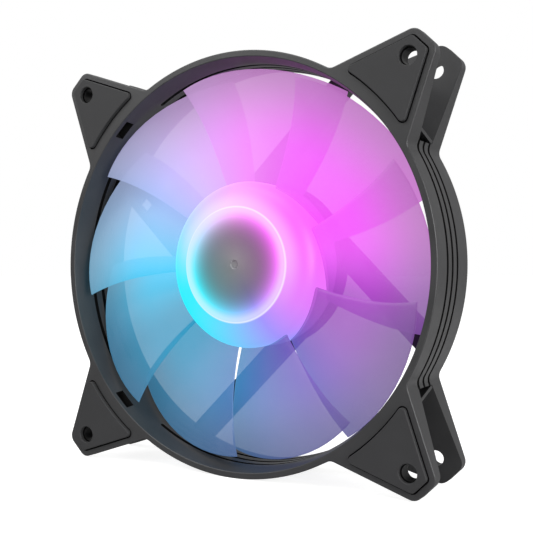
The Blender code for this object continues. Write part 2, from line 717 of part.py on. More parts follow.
def pole_outline(hub_radius, arm_half, shoe_inner, shoe_outer, shoe_half_angle, lug_radius=0.0):
    """A four-armed outline: arms from a round hub, each with a curved shoe at its end."""
    points = []
    arm_root = math.degrees(math.asin(arm_half / hub_radius))
    arm_end = math.degrees(math.asin(arm_half / shoe_inner))
    for quarter in range(4):
        middle = 90 * quarter
        points.append(polar(hub_radius, middle - arm_root))
        points.append(polar(shoe_inner, middle - arm_end))
        points.append(polar(shoe_inner, middle - shoe_half_angle))
        points += arc(shoe_outer, middle - shoe_half_angle, middle + shoe_half_angle, 8)
        points.append(polar(shoe_inner, middle + shoe_half_angle))
        points.append(polar(shoe_inner, middle + arm_end))
        points.append(polar(hub_radius, middle + arm_root))
        if lug_radius:
            points += [polar(hub_radius, middle + 42), polar(lug_radius, middle + 40.5)]
            points += [polar(lug_radius, middle + 49.5), polar(hub_radius, middle + 48)]
        else:
            points.append(polar(hub_radius, middle + 45))
    return points


def bored(obj, radius, front, rear):
    boolean(obj, disc(obj.name + "_bore", radius, front, rear, 24))


def stator():
    shape = pole_outline(CORE_HUB_RADIUS, CORE_ARM_HALF, SHOE_INNER_RADIUS, CORE_RADIUS, CORE_SHOE_ANGLE)
    core = slab("stator_core", shape, CORE_FRONT, CORE_REAR)
    bored(core, CORE_BORE_RADIUS, CORE_FRONT - CUT_MARGIN, CORE_REAR + CUT_MARGIN)
    paint(core, "silicon_steel", (0.35, 0.35, 0.36), 0.4, 1.0)
    sizes = (INSULATOR_HUB_RADIUS, INSULATOR_ARM_HALF, SHOE_INNER_RADIUS, INSULATOR_RADIUS)
    shape = pole_outline(*sizes, INSULATOR_SHOE_ANGLE)
    front = slab("insulator_front", shape, CORE_FRONT - GAP - INSULATION, CORE_FRONT - GAP)
    shape = pole_outline(*sizes, INSULATOR_SHOE_ANGLE, INSULATOR_LUG_RADIUS)
    rear = slab("insulator_rear", shape, CORE_REAR + GAP, CORE_REAR + GAP + INSULATION)
    for piece in (front, rear):
        bored(piece, CORE_BORE_RADIUS, CORE_FRONT - CUT_MARGIN, CORE_REAR + CUT_MARGIN)
        paint(piece, "nylon_white", (0.8, 0.8, 0.76), 0.5)


def coil(name, quarter):
    """A winding: a rectangular loop round one arm of the stator."""
    middle = (CORE_FRONT + CORE_REAR) / 2
    mesh_edit = bmesh.new()

    def loop(radius, half, chamfer):
        a, b = half
        corners = ((a, b - chamfer), (a - chamfer, b), (chamfer - a, b), (-a, b - chamfer))
        corners += ((-a, chamfer - b), (chamfer - a, -b), (a - chamfer, -b), (a, chamfer - b))
        return [mesh_edit.verts.new((radius, middle + v, u)) for u, v in corners]

    loops = [
        loop(COIL_NEAR, COIL_INNER_HALF, COIL_INNER_CHAMFER),
        loop(COIL_NEAR, COIL_OUTER_HALF, COIL_OUTER_CHAMFER),
        loop(COIL_FAR, COIL_OUTER_HALF, COIL_OUTER_CHAMFER),
        loop(COIL_FAR, COIL_INNER_HALF, COIL_INNER_CHAMFER),
    ]
    for first, second in zip(loops, loops[1:] + loops[:1]):
        for i in range(8):
            mesh_edit.faces.new((first[i - 1], first[i], second[i], second[i - 1]))
    obj = new_object(name, mesh_edit)
    obj.rotation_euler = (0, -math.radians(90 * quarter), 0)
    paint(obj, "copper_wire", (0.62, 0.28, 0.12), 0.35, 1.0)


def circuit_board():
    board = slab("circuit_board", arc(BOARD_RADIUS, 0, 360, 40)[:-1], BOARD_FRONT, BOARD_REAR)
    bored(board, BOARD_BORE_RADIUS, BOARD_FRONT - CUT_MARGIN, BOARD_REAR + CUT_MARGIN)
    mesh_edit = bmesh.new()
    for angle in PIN_ANGLES:
        hole = arc(PIN_RADIUS + GAP, 0, 360, 10, polar(PIN_RING_RADIUS, angle))[:-1]
        add_slab(mesh_edit, hole, BOARD_FRONT - CUT_MARGIN, BOARD_REAR + CUT_MARGIN)
    boolean(board, new_object("pin_hole_cutters", mesh_edit))
    paint(board, "solder_mask", (0.75, 0.76, 0.74), 0.4)
    for i, angle in enumerate(PIN_ANGLES):
        outline = arc(PIN_RADIUS, 0, 360, 10, polar(PIN_RING_RADIUS, angle))[:-1]
        pin = slab("terminal_pin_%d" % (i + 1), outline, PIN_FRONT, PIN_REAR)
        paint(pin, "tinned_brass", (0.7, 0.68, 0.6), 0.3, 1.0)


def board_parts():
    face = BOARD_FRONT - GAP

    def on_board(size, flat):
        return Vector((flat.x, face - size.y / 2, flat.y))

    for i in range(LED_COUNT):
        angle = 360 * (i + 0.5) / LED_COUNT
        place = on_board(LED_SIZE, polar(LED_RING_RADIUS, angle))
        led = block("led_%d" % (i + 1), LED_SIZE, place, angle - 90)
        paint(led, "led_white", (0.9, 0.9, 0.88), 0.35, glow=0.5)
    sensor = block("hall_sensor", SENSOR_SIZE, on_board(SENSOR_SIZE, polar(*SENSOR_PLACE)), -45)
    driver = block("driver_chip", DRIVER_SIZE, on_board(DRIVER_SIZE, polar(*DRIVER_PLACE)), 90)
    for chip in (sensor, driver):
        paint(chip, "chip_black", (0.02, 0.02, 0.02), 0.5)
    outline = arc(CAPACITOR_RADIUS, 0, 360, 16, polar(*CAPACITOR_PLACE))[:-1]
    can = slab("capacitor", outline, face - CAPACITOR_HEIGHT, face)
    paint(can, "capacitor_can", (0.55, 0.55, 0.57), 0.3, 1.0)


def label():
    face = BASE_REAR - LABEL_RECESS + GAP
    profile = ((0, face), (LABEL_RADIUS, face), (LABEL_RADIUS, BASE_REAR), (0, BASE_REAR))
    obj = turned("rear_label", profile, 40)
    paint(obj, "label_film", (0.55, 0.55, 0.56), 0.4)


def main():
    clear_scene()
    rotor = bpy.data.objects.new("rotor_axis", None)
    bpy.context.scene.collection.objects.link(rotor)
    frame()
    pads()
    label()
    bearing_parts()
    stator()
    for i in range(4):
        coil("coil_%d" % (i + 1), i)
    circuit_board()
    board_parts()
    impeller(rotor)
    rotor_parts(rotor)


main()
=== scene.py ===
"""The looks of the 120 mm case fan: refined meshes, materials, camera and light round the fixed frame.

Metres, +Z up. The fan's axis is Y and its intake face looks along -Y.
"""

import math

import bmesh
import bpy
from mathutils import Matrix, Vector


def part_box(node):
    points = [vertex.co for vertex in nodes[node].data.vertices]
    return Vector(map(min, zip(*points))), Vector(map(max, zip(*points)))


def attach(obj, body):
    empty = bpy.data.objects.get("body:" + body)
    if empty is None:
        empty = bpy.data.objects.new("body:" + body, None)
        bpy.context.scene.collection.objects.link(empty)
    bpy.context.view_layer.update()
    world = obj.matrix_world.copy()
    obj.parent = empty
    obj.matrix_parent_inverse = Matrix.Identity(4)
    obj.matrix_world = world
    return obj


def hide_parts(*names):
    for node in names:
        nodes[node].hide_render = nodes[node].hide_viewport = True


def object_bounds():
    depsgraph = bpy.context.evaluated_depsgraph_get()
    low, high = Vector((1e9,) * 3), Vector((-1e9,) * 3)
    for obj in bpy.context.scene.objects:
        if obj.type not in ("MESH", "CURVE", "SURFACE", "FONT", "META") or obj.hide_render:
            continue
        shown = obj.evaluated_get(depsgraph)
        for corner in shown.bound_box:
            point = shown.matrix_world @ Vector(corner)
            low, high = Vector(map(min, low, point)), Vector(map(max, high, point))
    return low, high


MM = 0.001
SLACK = 0.01 * MM
MERGE_DISTANCE = 1e-7

# Scales for vectors: metres to millimetres, and a place's part across the fan's axis
TO_MM = (1000, 1000, 1000)
ACROSS_AXIS = (1, 0, 1)

# Almost all values of a noise texture lie between these
NOISE_LOW = 0.3
NOISE_HIGH = 0.7

# Scale of a metal's marks across the axis
MARK_SCALE = 6.0

# Sockets of a Mix node that is set to colours
MIX_FIRST = 6
MIX_SECOND = 7
MIX_RESULT = 2

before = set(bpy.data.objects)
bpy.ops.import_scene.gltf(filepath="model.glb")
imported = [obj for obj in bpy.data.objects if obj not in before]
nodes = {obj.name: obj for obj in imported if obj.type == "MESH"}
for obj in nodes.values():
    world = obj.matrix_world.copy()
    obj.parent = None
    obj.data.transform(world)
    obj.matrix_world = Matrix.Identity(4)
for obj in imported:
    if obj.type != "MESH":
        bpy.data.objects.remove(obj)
cad_low, cad_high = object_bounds()

hub_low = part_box("impeller")[0]
yoke_low, yoke_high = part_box("rotor_yoke")


def srgb(red, green, blue):
    """Linear colour from 0-255 display values."""
    shares = [value / 255 for value in (red, green, blue)]
    return tuple(((share + 0.055) / 1.055) ** 2.4 if share > 0.04 else share / 12.92 for share in shares)


# ---------------------------------------------------------------- material building blocks


class Nodes:
    """A material's node tree with short calls for the nodes used here."""

    def __init__(self, name):
        self.material = bpy.data.materials.new(name)
        self.material.use_nodes = True
        self.tree = self.material.node_tree
        self.shader = self.tree.nodes["Principled BSDF"]

    def add(self, kind, **settings):
        node = self.tree.nodes.new(kind)
        for key, value in settings.items():
            setattr(node, key, value)
        return node

    def link(self, output, target):
        self.tree.links.new(output, target)

    def set(self, **values):
        for key, value in values.items():
            self.shader.inputs[key.replace("_", " ")].default_value = value

    def feed(self, node, *inputs):
        for i, value in enumerate(inputs):
            if isinstance(value, bpy.types.NodeSocket):
                self.link(value, node.inputs[i])
            elif value is not None:
                node.inputs[i].default_value = value

    def math(self, operation, *inputs):
        node = self.add("ShaderNodeMath", operation=operation)
        self.feed(node, *inputs)
        return node.outputs[0]

    def vector_math(self, operation, *inputs):
        node = self.add("ShaderNodeVectorMath", operation=operation)
        self.feed(node, *inputs)
        return node.outputs["Value" if operation in ("DOT_PRODUCT", "LENGTH") else "Vector"]

    def position(self):
        """The place in the fan's own frame, in millimetres."""
        geometry = self.add("ShaderNodeNewGeometry")
        return self.vector_math("MULTIPLY", geometry.outputs["Position"], TO_MM)

    def mesh_position(self):
        """The place on the piece itself, in millimetres, which turns with it."""
        coordinates = self.add("ShaderNodeTexCoord")
        return self.vector_math("MULTIPLY", coordinates.outputs["Object"], TO_MM)

    def noise(self, vector, scale, detail=2.0, roughness=0.5):
        node = self.add("ShaderNodeTexNoise")
        self.link(vector, node.inputs["Vector"])
        node.inputs["Scale"].default_value = scale
        node.inputs["Detail"].default_value = detail
        node.inputs["Roughness"].default_value = roughness
        return node.outputs["Fac"]

    def ramp(self, factor, stops, interpolation="LINEAR"):
        node = self.add("ShaderNodeValToRGB")
        node.color_ramp.interpolation = interpolation
        elements = node.color_ramp.elements
        while len(elements) < len(stops):
            elements.new(0.5)
        for element, (place, colour) in zip(elements, stops):
            element.position = place
            element.color = (*colour, 1)
        self.link(factor, node.inputs["Fac"])
        return node.outputs["Color"]

    def smooth(self, value, low, high, out_low=0.0, out_high=1.0):
        node = self.add("ShaderNodeMapRange", interpolation_type="SMOOTHSTEP")
        self.feed(node, value, low, high, out_low, out_high)
        return node.outputs["Result"]

    def mix(self, factor, first, second, blend_type="MIX"):
        node = self.add("ShaderNodeMix", data_type="RGBA", blend_type=blend_type)
        self.feed(node, factor)
        for value, target in ((first, node.inputs[MIX_FIRST]), (second, node.inputs[MIX_SECOND])):
            if isinstance(value, bpy.types.NodeSocket):
                self.link(value, target)
            else:
                target.default_value = (*value, 1)
        return node.outputs[MIX_RESULT]

    def bump(self, height, strength, distance):
        node = self.add("ShaderNodeBump")
        node.inputs["Strength"].default_value = strength
        node.inputs["Distance"].default_value = distance
        self.link(height, node.inputs["Height"])
        self.link(node.outputs["Normal"], self.shader.inputs["Normal"])


def moulded(name, colour, roughness, grain=1.6, grain_depth=0.012, variation=0.12, specular=0.5):
    """Moulded plastic or rubber: fine grain, faint flow variation in colour and roughness."""
    nodes_of = Nodes(name)
    place = nodes_of.mesh_position()
    cloud = nodes_of.noise(place, 0.09, 3.0)
    dark = tuple(c * (1 - variation) for c in colour)
    light = tuple(c * (1 + variation) for c in colour)
    clouded = nodes_of.ramp(cloud, ((NOISE_LOW, dark), (NOISE_HIGH, light)))
    nodes_of.link(clouded, nodes_of.shader.inputs["Base Color"])
    sheen = nodes_of.smooth(cloud, NOISE_LOW, NOISE_HIGH, roughness - 0.04, roughness + 0.05)
    nodes_of.link(sheen, nodes_of.shader.inputs["Roughness"])
    nodes_of.bump(nodes_of.noise(place, grain, 2.0), 0.5, grain_depth * MM)
    nodes_of.set(Specular_IOR_Level=specular)
    return nodes_of.material


def metal(name, colour, roughness, axial_scale, depth=0.004, variation=0.15):
    """Bare metal with fine marks: round the axis where axial_scale is above MARK_SCALE, else along it."""
    nodes_of = Nodes(name)
    place = nodes_of.mesh_position()
    scale = (MARK_SCALE, axial_scale, MARK_SCALE)
    marks = nodes_of.noise(nodes_of.vector_math("MULTIPLY", place, scale), 1.0, 3.0, 0.6)
    dark = tuple(c * (1 - variation) for c in colour)
    nodes_of.link(nodes_of.ramp(marks, ((0.35, dark), (0.65, colour))), nodes_of.shader.inputs["Base Color"])
    sheen = nodes_of.smooth(marks, NOISE_LOW, NOISE_HIGH, roughness - 0.06, roughness + 0.08)
    nodes_of.link(sheen, nodes_of.shader.inputs["Roughness"])
    nodes_of.bump(marks, 0.4, depth * MM)
    nodes_of.set(Metallic=1.0)
    return nodes_of.material


# ---------------------------------------------------------------- the glow


# Directions round the fan's face, in degrees from +X towards +Z
GLOW_DIRECTION = 30.0
LIGHT_SIDE_DIRECTION = 120.0
WHITE_SHOULDER_DIRECTION = 75.0
BLADE_LIGHT_DIRECTION = 95.0

# The glow goes from cyan to magenta, through paler colours on one flank and deeper ones on the other
GLOW_MAGENTA = srgb(255, 98, 255)
GLOW_CYAN = srgb(20, 240, 255)
LIGHT_SIDE = (
    (0.0, GLOW_CYAN),
    (0.25, srgb(172, 222, 255)),
    (0.5, srgb(226, 200, 255)),
    (0.75, srgb(254, 160, 255)),
    (1.0, GLOW_MAGENTA),
)
DEEP_SIDE = (
    (0.0, GLOW_CYAN),
    (0.25, srgb(120, 200, 254)),
    (0.5, srgb(160, 146, 254)),
    (0.75, srgb(225, 125, 253)),
    (1.0, GLOW_MAGENTA),
)

# White in the hub's glow: radii in mm where a ring starts, is full, starts to fall and is gone; its share
WHITE_RINGS = ((13.2, 15.8, 16.4, 16.9, 0.42), (16.05, 16.35, 16.45, 16.75, 0.24))
WHITE_SHOULDER = (16.4, 16.9, 16.9, 21.5, 0.28)

# The hub is fully lit from this radius in mm outwards, and dims steeply inside it down to a glimmer per mm
HUB_LIT_RADIUS = 14.2
HUB_LIT_POWER = 5.5
HUB_GLIMMER = 0.016
HUB_STRENGTH = 0.96

# The hub's own colour from its centre to this radius in mm
HUB_MILK_RADIUS = 16.0
HUB_MILK = (
    (0.0, (0.19, 0.182, 0.195)),
    (0.5, (0.09, 0.088, 0.094)),
    (0.75, (0.05, 0.05, 0.056)),
    (1.0, (0.02, 0.02, 0.024)),
)

# Blades: tints of the glow, the strength that fades outwards, and the colour that is mixed in towards the tip
BLADE_TINT = (0.95, 0.78, 1.0)
LOWER_BLADE_TINT = (0.82, 0.68, 1.0)
BLADE_STRENGTH = 0.96
LOWER_BLADE_STRENGTH = 0.5
FADE_RADII = (34.0, 60.0)
TIP_STRENGTH = 0.52
PALE_RADII = (36.0, 58.0)
PALE_SHARE = 0.3
PALE_TIP = (0.82, 0.72, 0.82)
LOWER_PALE_TIP = (0.42, 0.56, 1.0)
BLADE_MILK_DARK = (0.014, 0.015, 0.022)
BLADE_MILK_LIGHT = (0.026, 0.028, 0.042)
BLADE_ALPHA = 0.72


def outward(nodes_of, place):
    """The unit direction away from the fan's axis."""
    return nodes_of.vector_math("NORMALIZE", nodes_of.vector_math("MULTIPLY", place, ACROSS_AXIS))


def towards(nodes_of, direction, degrees):
    """The cosine of the angle between the outward direction and one round the fan's face."""
    angle = math.radians(degrees)
    return nodes_of.vector_math("DOT_PRODUCT", direction, (math.cos(angle), 0, math.sin(angle)))


def radius_of(nodes_of, place):
    return nodes_of.vector_math("LENGTH", nodes_of.vector_math("MULTIPLY", place, ACROSS_AXIS))


def soft_ring(nodes_of, radius, start, full, fall, gone, share=1.0):
    """A ring's share at a radius; it rises from start to full and falls from fall to gone."""
    rising = nodes_of.smooth(radius, start, full)
    falling = nodes_of.smooth(radius, fall, gone, share, 0.0)
    return nodes_of.math("MULTIPLY", rising, falling)


def glow_colour(nodes_of, direction):
    along = nodes_of.math("MULTIPLY_ADD", towards(nodes_of, direction, GLOW_DIRECTION), 0.5, 0.5)
    side = nodes_of.smooth(towards(nodes_of, direction, LIGHT_SIDE_DIRECTION), -0.8, 0.8)
    return nodes_of.mix(side, nodes_of.ramp(along, DEEP_SIDE), nodes_of.ramp(along, LIGHT_SIDE))


def hub_material():
    """Frosted plastic, lit from inside: bright shoulder and ring, a dim centre in front of the steel cup."""
    nodes_of = Nodes("frosted_hub")
    place = nodes_of.position()
    direction = outward(nodes_of, place)
    radius = radius_of(nodes_of, place)
    glow = glow_colour(nodes_of, direction)
    facing = nodes_of.smooth(towards(nodes_of, direction, WHITE_SHOULDER_DIRECTION), -0.7, 0.5)
    whiteness = nodes_of.math("MULTIPLY", soft_ring(nodes_of, radius, *WHITE_SHOULDER), facing)
    for ring in WHITE_RINGS:
        whiteness = nodes_of.math("ADD", soft_ring(nodes_of, radius, *ring), whiteness)
    whitened = nodes_of.mix(whiteness, glow, (1, 1, 1))
    glimmer = nodes_of.math("MULTIPLY", radius, HUB_GLIMMER)
    lit = nodes_of.math("POWER", nodes_of.math("DIVIDE", radius, HUB_LIT_RADIUS), HUB_LIT_POWER)
    lit = nodes_of.math("MINIMUM", nodes_of.math("ADD", lit, glimmer), 1.0)
    shader = nodes_of.shader
    nodes_of.link(whitened, shader.inputs["Emission Color"])
    nodes_of.link(nodes_of.math("MULTIPLY", lit, HUB_STRENGTH), shader.inputs["Emission Strength"])
    milk = nodes_of.ramp(nodes_of.math("DIVIDE", radius, HUB_MILK_RADIUS), HUB_MILK)
    nodes_of.link(milk, shader.inputs["Base Color"])
    fine = nodes_of.noise(nodes_of.mesh_position(), 3.0, 2.0)
    nodes_of.bump(fine, 0.35, 0.006 * MM)
    nodes_of.set(Roughness=0.42, Specular_IOR_Level=0.3)
    return nodes_of.material


def blade_material():
    """The same plastic, thinner: it fades outwards and lets some of what is behind it through."""
    nodes_of = Nodes("frosted_blade")
    place = nodes_of.position()
    direction = outward(nodes_of, place)
    radius = radius_of(nodes_of, place)
    upper = nodes_of.smooth(towards(nodes_of, direction, BLADE_LIGHT_DIRECTION), -0.5, 0.12)
    tint = nodes_of.mix(upper, LOWER_BLADE_TINT, BLADE_TINT)
    colour = nodes_of.mix(1.0, glow_colour(nodes_of, direction), tint, "MULTIPLY")
    pale = nodes_of.mix(upper, LOWER_PALE_TIP, PALE_TIP)
    colour = nodes_of.mix(nodes_of.smooth(radius, *PALE_RADII, 0.0, PALE_SHARE), colour, pale)
    gain = BLADE_STRENGTH - LOWER_BLADE_STRENGTH
    level = nodes_of.math("MULTIPLY_ADD", upper, gain, LOWER_BLADE_STRENGTH)
    fade = nodes_of.smooth(radius, *FADE_RADII, 1.0, TIP_STRENGTH)
    shader = nodes_of.shader
    nodes_of.link(colour, shader.inputs["Emission Color"])
    nodes_of.link(nodes_of.math("MULTIPLY", level, fade), shader.inputs["Emission Strength"])
    streaks = nodes_of.noise(nodes_of.mesh_position(), 0.12, 2.0)
    milk = nodes_of.ramp(streaks, ((NOISE_LOW, BLADE_MILK_DARK), (NOISE_HIGH, BLADE_MILK_LIGHT)))
    nodes_of.link(milk, shader.inputs["Base Color"])
    fine = nodes_of.noise(nodes_of.mesh_position(), 3.0, 2.0)
    nodes_of.bump(fine, 0.3, 0.006 * MM)
    nodes_of.set(Roughness=0.38, Alpha=BLADE_ALPHA, Specular_IOR_Level=0.3)
    return nodes_of.material


# ---------------------------------------------------------------- mesh building blocks


def new_piece(name, mesh_edit, materials, body, replaced, sharp_angle, flat_faces=False):
    """Turns a bmesh into a piece that rides on a body and stands for CAD nodes."""
    bmesh.ops.recalc_face_normals(mesh_edit, faces=mesh_edit.faces)
    mesh = bpy.data.meshes.new(name)
    mesh_edit.to_mesh(mesh)
    mesh_edit.free()
    mesh.shade_smooth()
    mesh.set_sharp_from_angle(angle=math.radians(sharp_angle))
    obj = bpy.data.objects.new(name, mesh)
    bpy.context.scene.collection.objects.link(obj)
    for material in materials:
        obj.data.materials.append(material)
    if flat_faces:
        normals = obj.modifiers.new("flat_faces", "WEIGHTED_NORMAL")
        normals.keep_sharp = True
    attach(obj, body)
    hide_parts(*replaced)


def spin(mesh_edit, profile, steps):
    """Turns (radius, y) points about the Y axis into a closed surface."""
    points = [mesh_edit.verts.new((radius, y, 0)) for radius, y in profile]
    pairs = list(zip(points, points[1:]))
    if profile[0][0] > 0:
        pairs.append((points[-1], points[0]))
    edges = [mesh_edit.edges.new(pair) for pair in pairs]
    bmesh.ops.spin(
        mesh_edit,
        geom=points + edges,
        axis=(0, 1, 0),
        cent=(0, 0, 0),
        angle=math.tau,
        steps=steps,
        use_merge=True,
    )
    bmesh.ops.remove_doubles(mesh_edit, verts=mesh_edit.verts, dist=MERGE_DISTANCE)


def polar(radius, degrees):
    angle = math.radians(degrees)
    return Vector((math.cos(angle), math.sin(angle))) * radius


def round_off(before, corner, after, radius, steps=3):
    """Points of an arc in place of a profile's corner."""
    before, corner, after = Vector(before), Vector(corner), Vector(after)
    to_before = (before - corner).normalized()
    to_after = (after - corner).normalized()
    half = to_before.angle(to_after) / 2
    centre = corner + (to_before + to_after).normalized() * radius / math.sin(half)
    start = corner + to_before * radius / math.tan(half) - centre
    end = corner + to_after * radius / math.tan(half) - centre
    return [tuple(centre + start.slerp(end, i / steps).normalized() * radius) for i in range(steps + 1)]


# ---------------------------------------------------------------- impeller


HUB_RADIUS = 24.0 * MM
HUB_WALL = 1.6 * MM
HUB_FRONT = hub_low.y
HUB_REAR = 5.7 * MM
HUB_STEPS = 144
HUB_SIDE_RINGS = (-2.0 * MM, 1.0 * MM, 4.0 * MM)
HUB_REAR_ROUND = 0.35 * MM
HUB_INNER_ROUND = 0.2 * MM
FACE_MIDDLE_RADIUS = 8.0 * MM
FACE_RADIUS = 14.6 * MM
FACE_SINK = 0.12 * MM
PLATEAU_RADIUS = 16.4 * MM
PLATEAU_ROUND = 0.35 * MM
RIM_WIDTH = 0.7 * MM
RIM_TOP_WIDTH = 0.3 * MM
RIM_EASE = 0.02 * MM
SHOULDER_REAR = -4.5 * MM
SHOULDER_CONTROL = -8.9 * MM
SHOULDER_STEPS = 16
SKIRT_INNER_RADIUS = 17.1 * MM
SKIRT_OUTER_RADIUS = 18.3 * MM
SKIRT_ROOT = SHOULDER_CONTROL + 0.3 * MM
YOKE_GAP = 0.39 * MM
GATE_RADIUS = 1.5 * MM
GATE_DEPTH = 0.2 * MM
GATE_CREST = 0.07 * MM
BLADE_COUNT = 9
BLADE_ROOT_RADIUS = 23.1 * MM
BLADE_TIP_RADIUS = 56.2 * MM
BLADE_SPAN_STEPS = 22
BLADE_CHORD_STEPS = 20
BLADE_ROOT_THICKNESS = 1.7 * MM
BLADE_TIP_THICKNESS = 1.1 * MM
BLADE_TIP_CUT = 1.7 * MM
BLADE_SWEEP = 5.0
BLADE_HALF_ANGLE = 25.0
BLADE_LEAD_ROOT = -5.2 * MM
BLADE_LEAD_TIP = -9.6 * MM
BLADE_TRAIL_ROOT = 4.0 * MM
BLADE_TRAIL_TIP = 4.2 * MM
BLADE_CAMBER_ROOT = 1.6 * MM
BLADE_CAMBER_TIP = 2.3 * MM
BLADE_EDGE_SHARE = 0.025
BLADE_TIP_SHARE = 0.012
BLADE_THINNEST = 0.15


def hub_profile():
    """Front face with its gate mark and raised rim, curved shoulder, side, and the inside with its skirt."""
    skirt_rear = yoke_high.y
    roof = yoke_low.y - YOKE_GAP
    inner_radius = HUB_RADIUS - HUB_WALL
    face = HUB_FRONT + FACE_SINK
    dimple = face + GATE_DEPTH
    crest = face - GATE_CREST
    points = [(0, dimple), (GATE_RADIUS * 0.7, dimple), (GATE_RADIUS * 0.85, crest)]
    points += [(GATE_RADIUS, crest), (GATE_RADIUS * 1.2, face)]
    points += [(FACE_MIDDLE_RADIUS, face), (FACE_RADIUS, face)]
    rim = PLATEAU_RADIUS - PLATEAU_ROUND
    points += [(rim - RIM_WIDTH, face - RIM_EASE), (rim - RIM_TOP_WIDTH, HUB_FRONT + RIM_EASE)]
    points.append((rim, HUB_FRONT))
    start = Vector((PLATEAU_RADIUS, HUB_FRONT + PLATEAU_ROUND))
    control = Vector((HUB_RADIUS, SHOULDER_CONTROL))
    end = Vector((HUB_RADIUS, SHOULDER_REAR))
    points.append((PLATEAU_RADIUS - 0.08 * MM, HUB_FRONT + 0.1 * MM))
    for i in range(SHOULDER_STEPS + 1):
        t = i / SHOULDER_STEPS
        p = start * (1 - t) ** 2 + control * 2 * t * (1 - t) + end * t * t
        points.append((p.x, p.y))
    points += [(HUB_RADIUS, y) for y in HUB_SIDE_RINGS]
    points += [(HUB_RADIUS, HUB_REAR - 0.3 * MM), (HUB_RADIUS - 0.12 * MM, HUB_REAR - 0.08 * MM)]
    points += [(HUB_RADIUS - HUB_REAR_ROUND, HUB_REAR), (inner_radius + HUB_INNER_ROUND, HUB_REAR)]
    points += [(inner_radius, HUB_REAR - HUB_INNER_ROUND), (inner_radius, SHOULDER_REAR)]
    points += [(SKIRT_OUTER_RADIUS, SKIRT_ROOT), (SKIRT_OUTER_RADIUS, skirt_rear)]
    return points + [(SKIRT_INNER_RADIUS, skirt_rear), (SKIRT_INNER_RADIUS, roof), (0, roof)]


def between_ends(root, tip, share):
    """The value at a share of the way from the blade's root to its tip."""
    return root + (tip - root) * share


def blade_point(span, chord):
    """A point of the blade's middle surface; span runs root to tip, chord leading edge to trailing."""
    radius = between_ends(BLADE_ROOT_RADIUS, BLADE_TIP_RADIUS, span)
    radius -= BLADE_TIP_CUT * span * (1 - chord) ** 4
    angle = BLADE_SWEEP * span * span + BLADE_HALF_ANGLE * (1 - 2 * chord)
    lead = between_ends(BLADE_LEAD_ROOT, BLADE_LEAD_TIP, span ** 0.8)
    trail = between_ends(BLADE_TRAIL_ROOT, BLADE_TRAIL_TIP, span)
    camber = between_ends(BLADE_CAMBER_ROOT, BLADE_CAMBER_TIP, span)
    depth = lead + (trail - lead) * chord - camber * 4 * chord * (1 - chord)
    flat = polar(radius, angle)
    return Vector((flat.x, depth, flat.y))


def blade_normal(span, chord):
    step = 0.01
    ahead = blade_point(span, min(chord + step, 1)) - blade_point(span, max(chord - step, 0))
    outwards = blade_point(min(span + step, 1), chord) - blade_point(max(span - step, 0), chord)
    return ahead.cross(outwards).normalized()


def edge_fullness(distance, rounded_share):
    """The share of the full thickness at a distance from an edge, along a quarter circle."""
    across = min(distance / rounded_share, 1.0)
    return math.sqrt(max(0.0, 1 - (1 - across) ** 2)) * (1 - BLADE_THINNEST) + BLADE_THINNEST


def blade_mesh(index):
    """A cambered, twisted blade whose thickness rounds off at both edges and at the tip."""
    mesh_edit = bmesh.new()
    grids = {1: [], -1: []}
    for i in range(BLADE_SPAN_STEPS + 1):
        span = math.sin(math.pi / 2 * i / BLADE_SPAN_STEPS)
        rows = {1: [], -1: []}
        for j in range(BLADE_CHORD_STEPS + 1):
            chord = 0.5 - 0.5 * math.cos(math.pi * j / BLADE_CHORD_STEPS)
            thickness = between_ends(BLADE_ROOT_THICKNESS, BLADE_TIP_THICKNESS, span)
            # An aerofoil, fullest a third of the way from its leading edge
            fullness = 0.35 + 0.65 * math.sin(math.pi * (0.12 + 0.82 * chord ** 0.7))
            fullness *= edge_fullness(min(chord, 1 - chord), BLADE_EDGE_SHARE)
            fullness *= edge_fullness(1 - span, BLADE_TIP_SHARE)
            point = blade_point(span, chord)
            normal = blade_normal(span, chord)
            for side in (1, -1):
                rows[side].append(mesh_edit.verts.new(point + normal * side * thickness / 2 * fullness))
        for side in (1, -1):
            grids[side].append(rows[side])
    for side in (1, -1):
        grid = grids[side]
        for i in range(BLADE_SPAN_STEPS):
            for j in range(BLADE_CHORD_STEPS):
                mesh_edit.faces.new((grid[i][j], grid[i + 1][j], grid[i + 1][j + 1], grid[i][j + 1]))
    top, bottom = grids[1], grids[-1]
    for i in range(BLADE_SPAN_STEPS):
        for j in (0, BLADE_CHORD_STEPS):
            mesh_edit.faces.new((top[i][j], top[i + 1][j], bottom[i + 1][j], bottom[i][j]))
    for j in range(BLADE_CHORD_STEPS):
        for i in (0, BLADE_SPAN_STEPS):
            mesh_edit.faces.new((top[i][j], top[i][j + 1], bottom[i][j + 1], bottom[i][j]))
    turn = Matrix.Rotation(-math.tau * index / BLADE_COUNT, 4, "Y")
    bmesh.ops.transform(mesh_edit, matrix=turn, verts=mesh_edit.verts)
    return mesh_edit


def scratch_object(name, mesh_edit):
    bmesh.ops.recalc_face_normals(mesh_edit, faces=mesh_edit.faces)
    mesh = bpy.data.meshes.new(name)
    mesh_edit.to_mesh(mesh)
    mesh_edit.free()
    obj = bpy.data.objects.new(name, mesh)
    bpy.context.scene.collection.objects.link(obj)
    return obj


def joined(base, steps):
    """The base's mesh after exact Booleans with (tool, operation) steps; the scratch objects are removed."""
    for tool, operation in steps:
        modifier = base.modifiers.new(tool.name, "BOOLEAN")
        modifier.operation = operation
        modifier.solver = "EXACT"
        modifier.object = tool
    evaluated = base.evaluated_get(bpy.context.evaluated_depsgraph_get())
    result = bmesh.new()
    result.from_mesh(evaluated.to_mesh())
    for obj in (base, *(tool for tool, _ in steps)):
        bpy.data.objects.remove(obj)
    return result


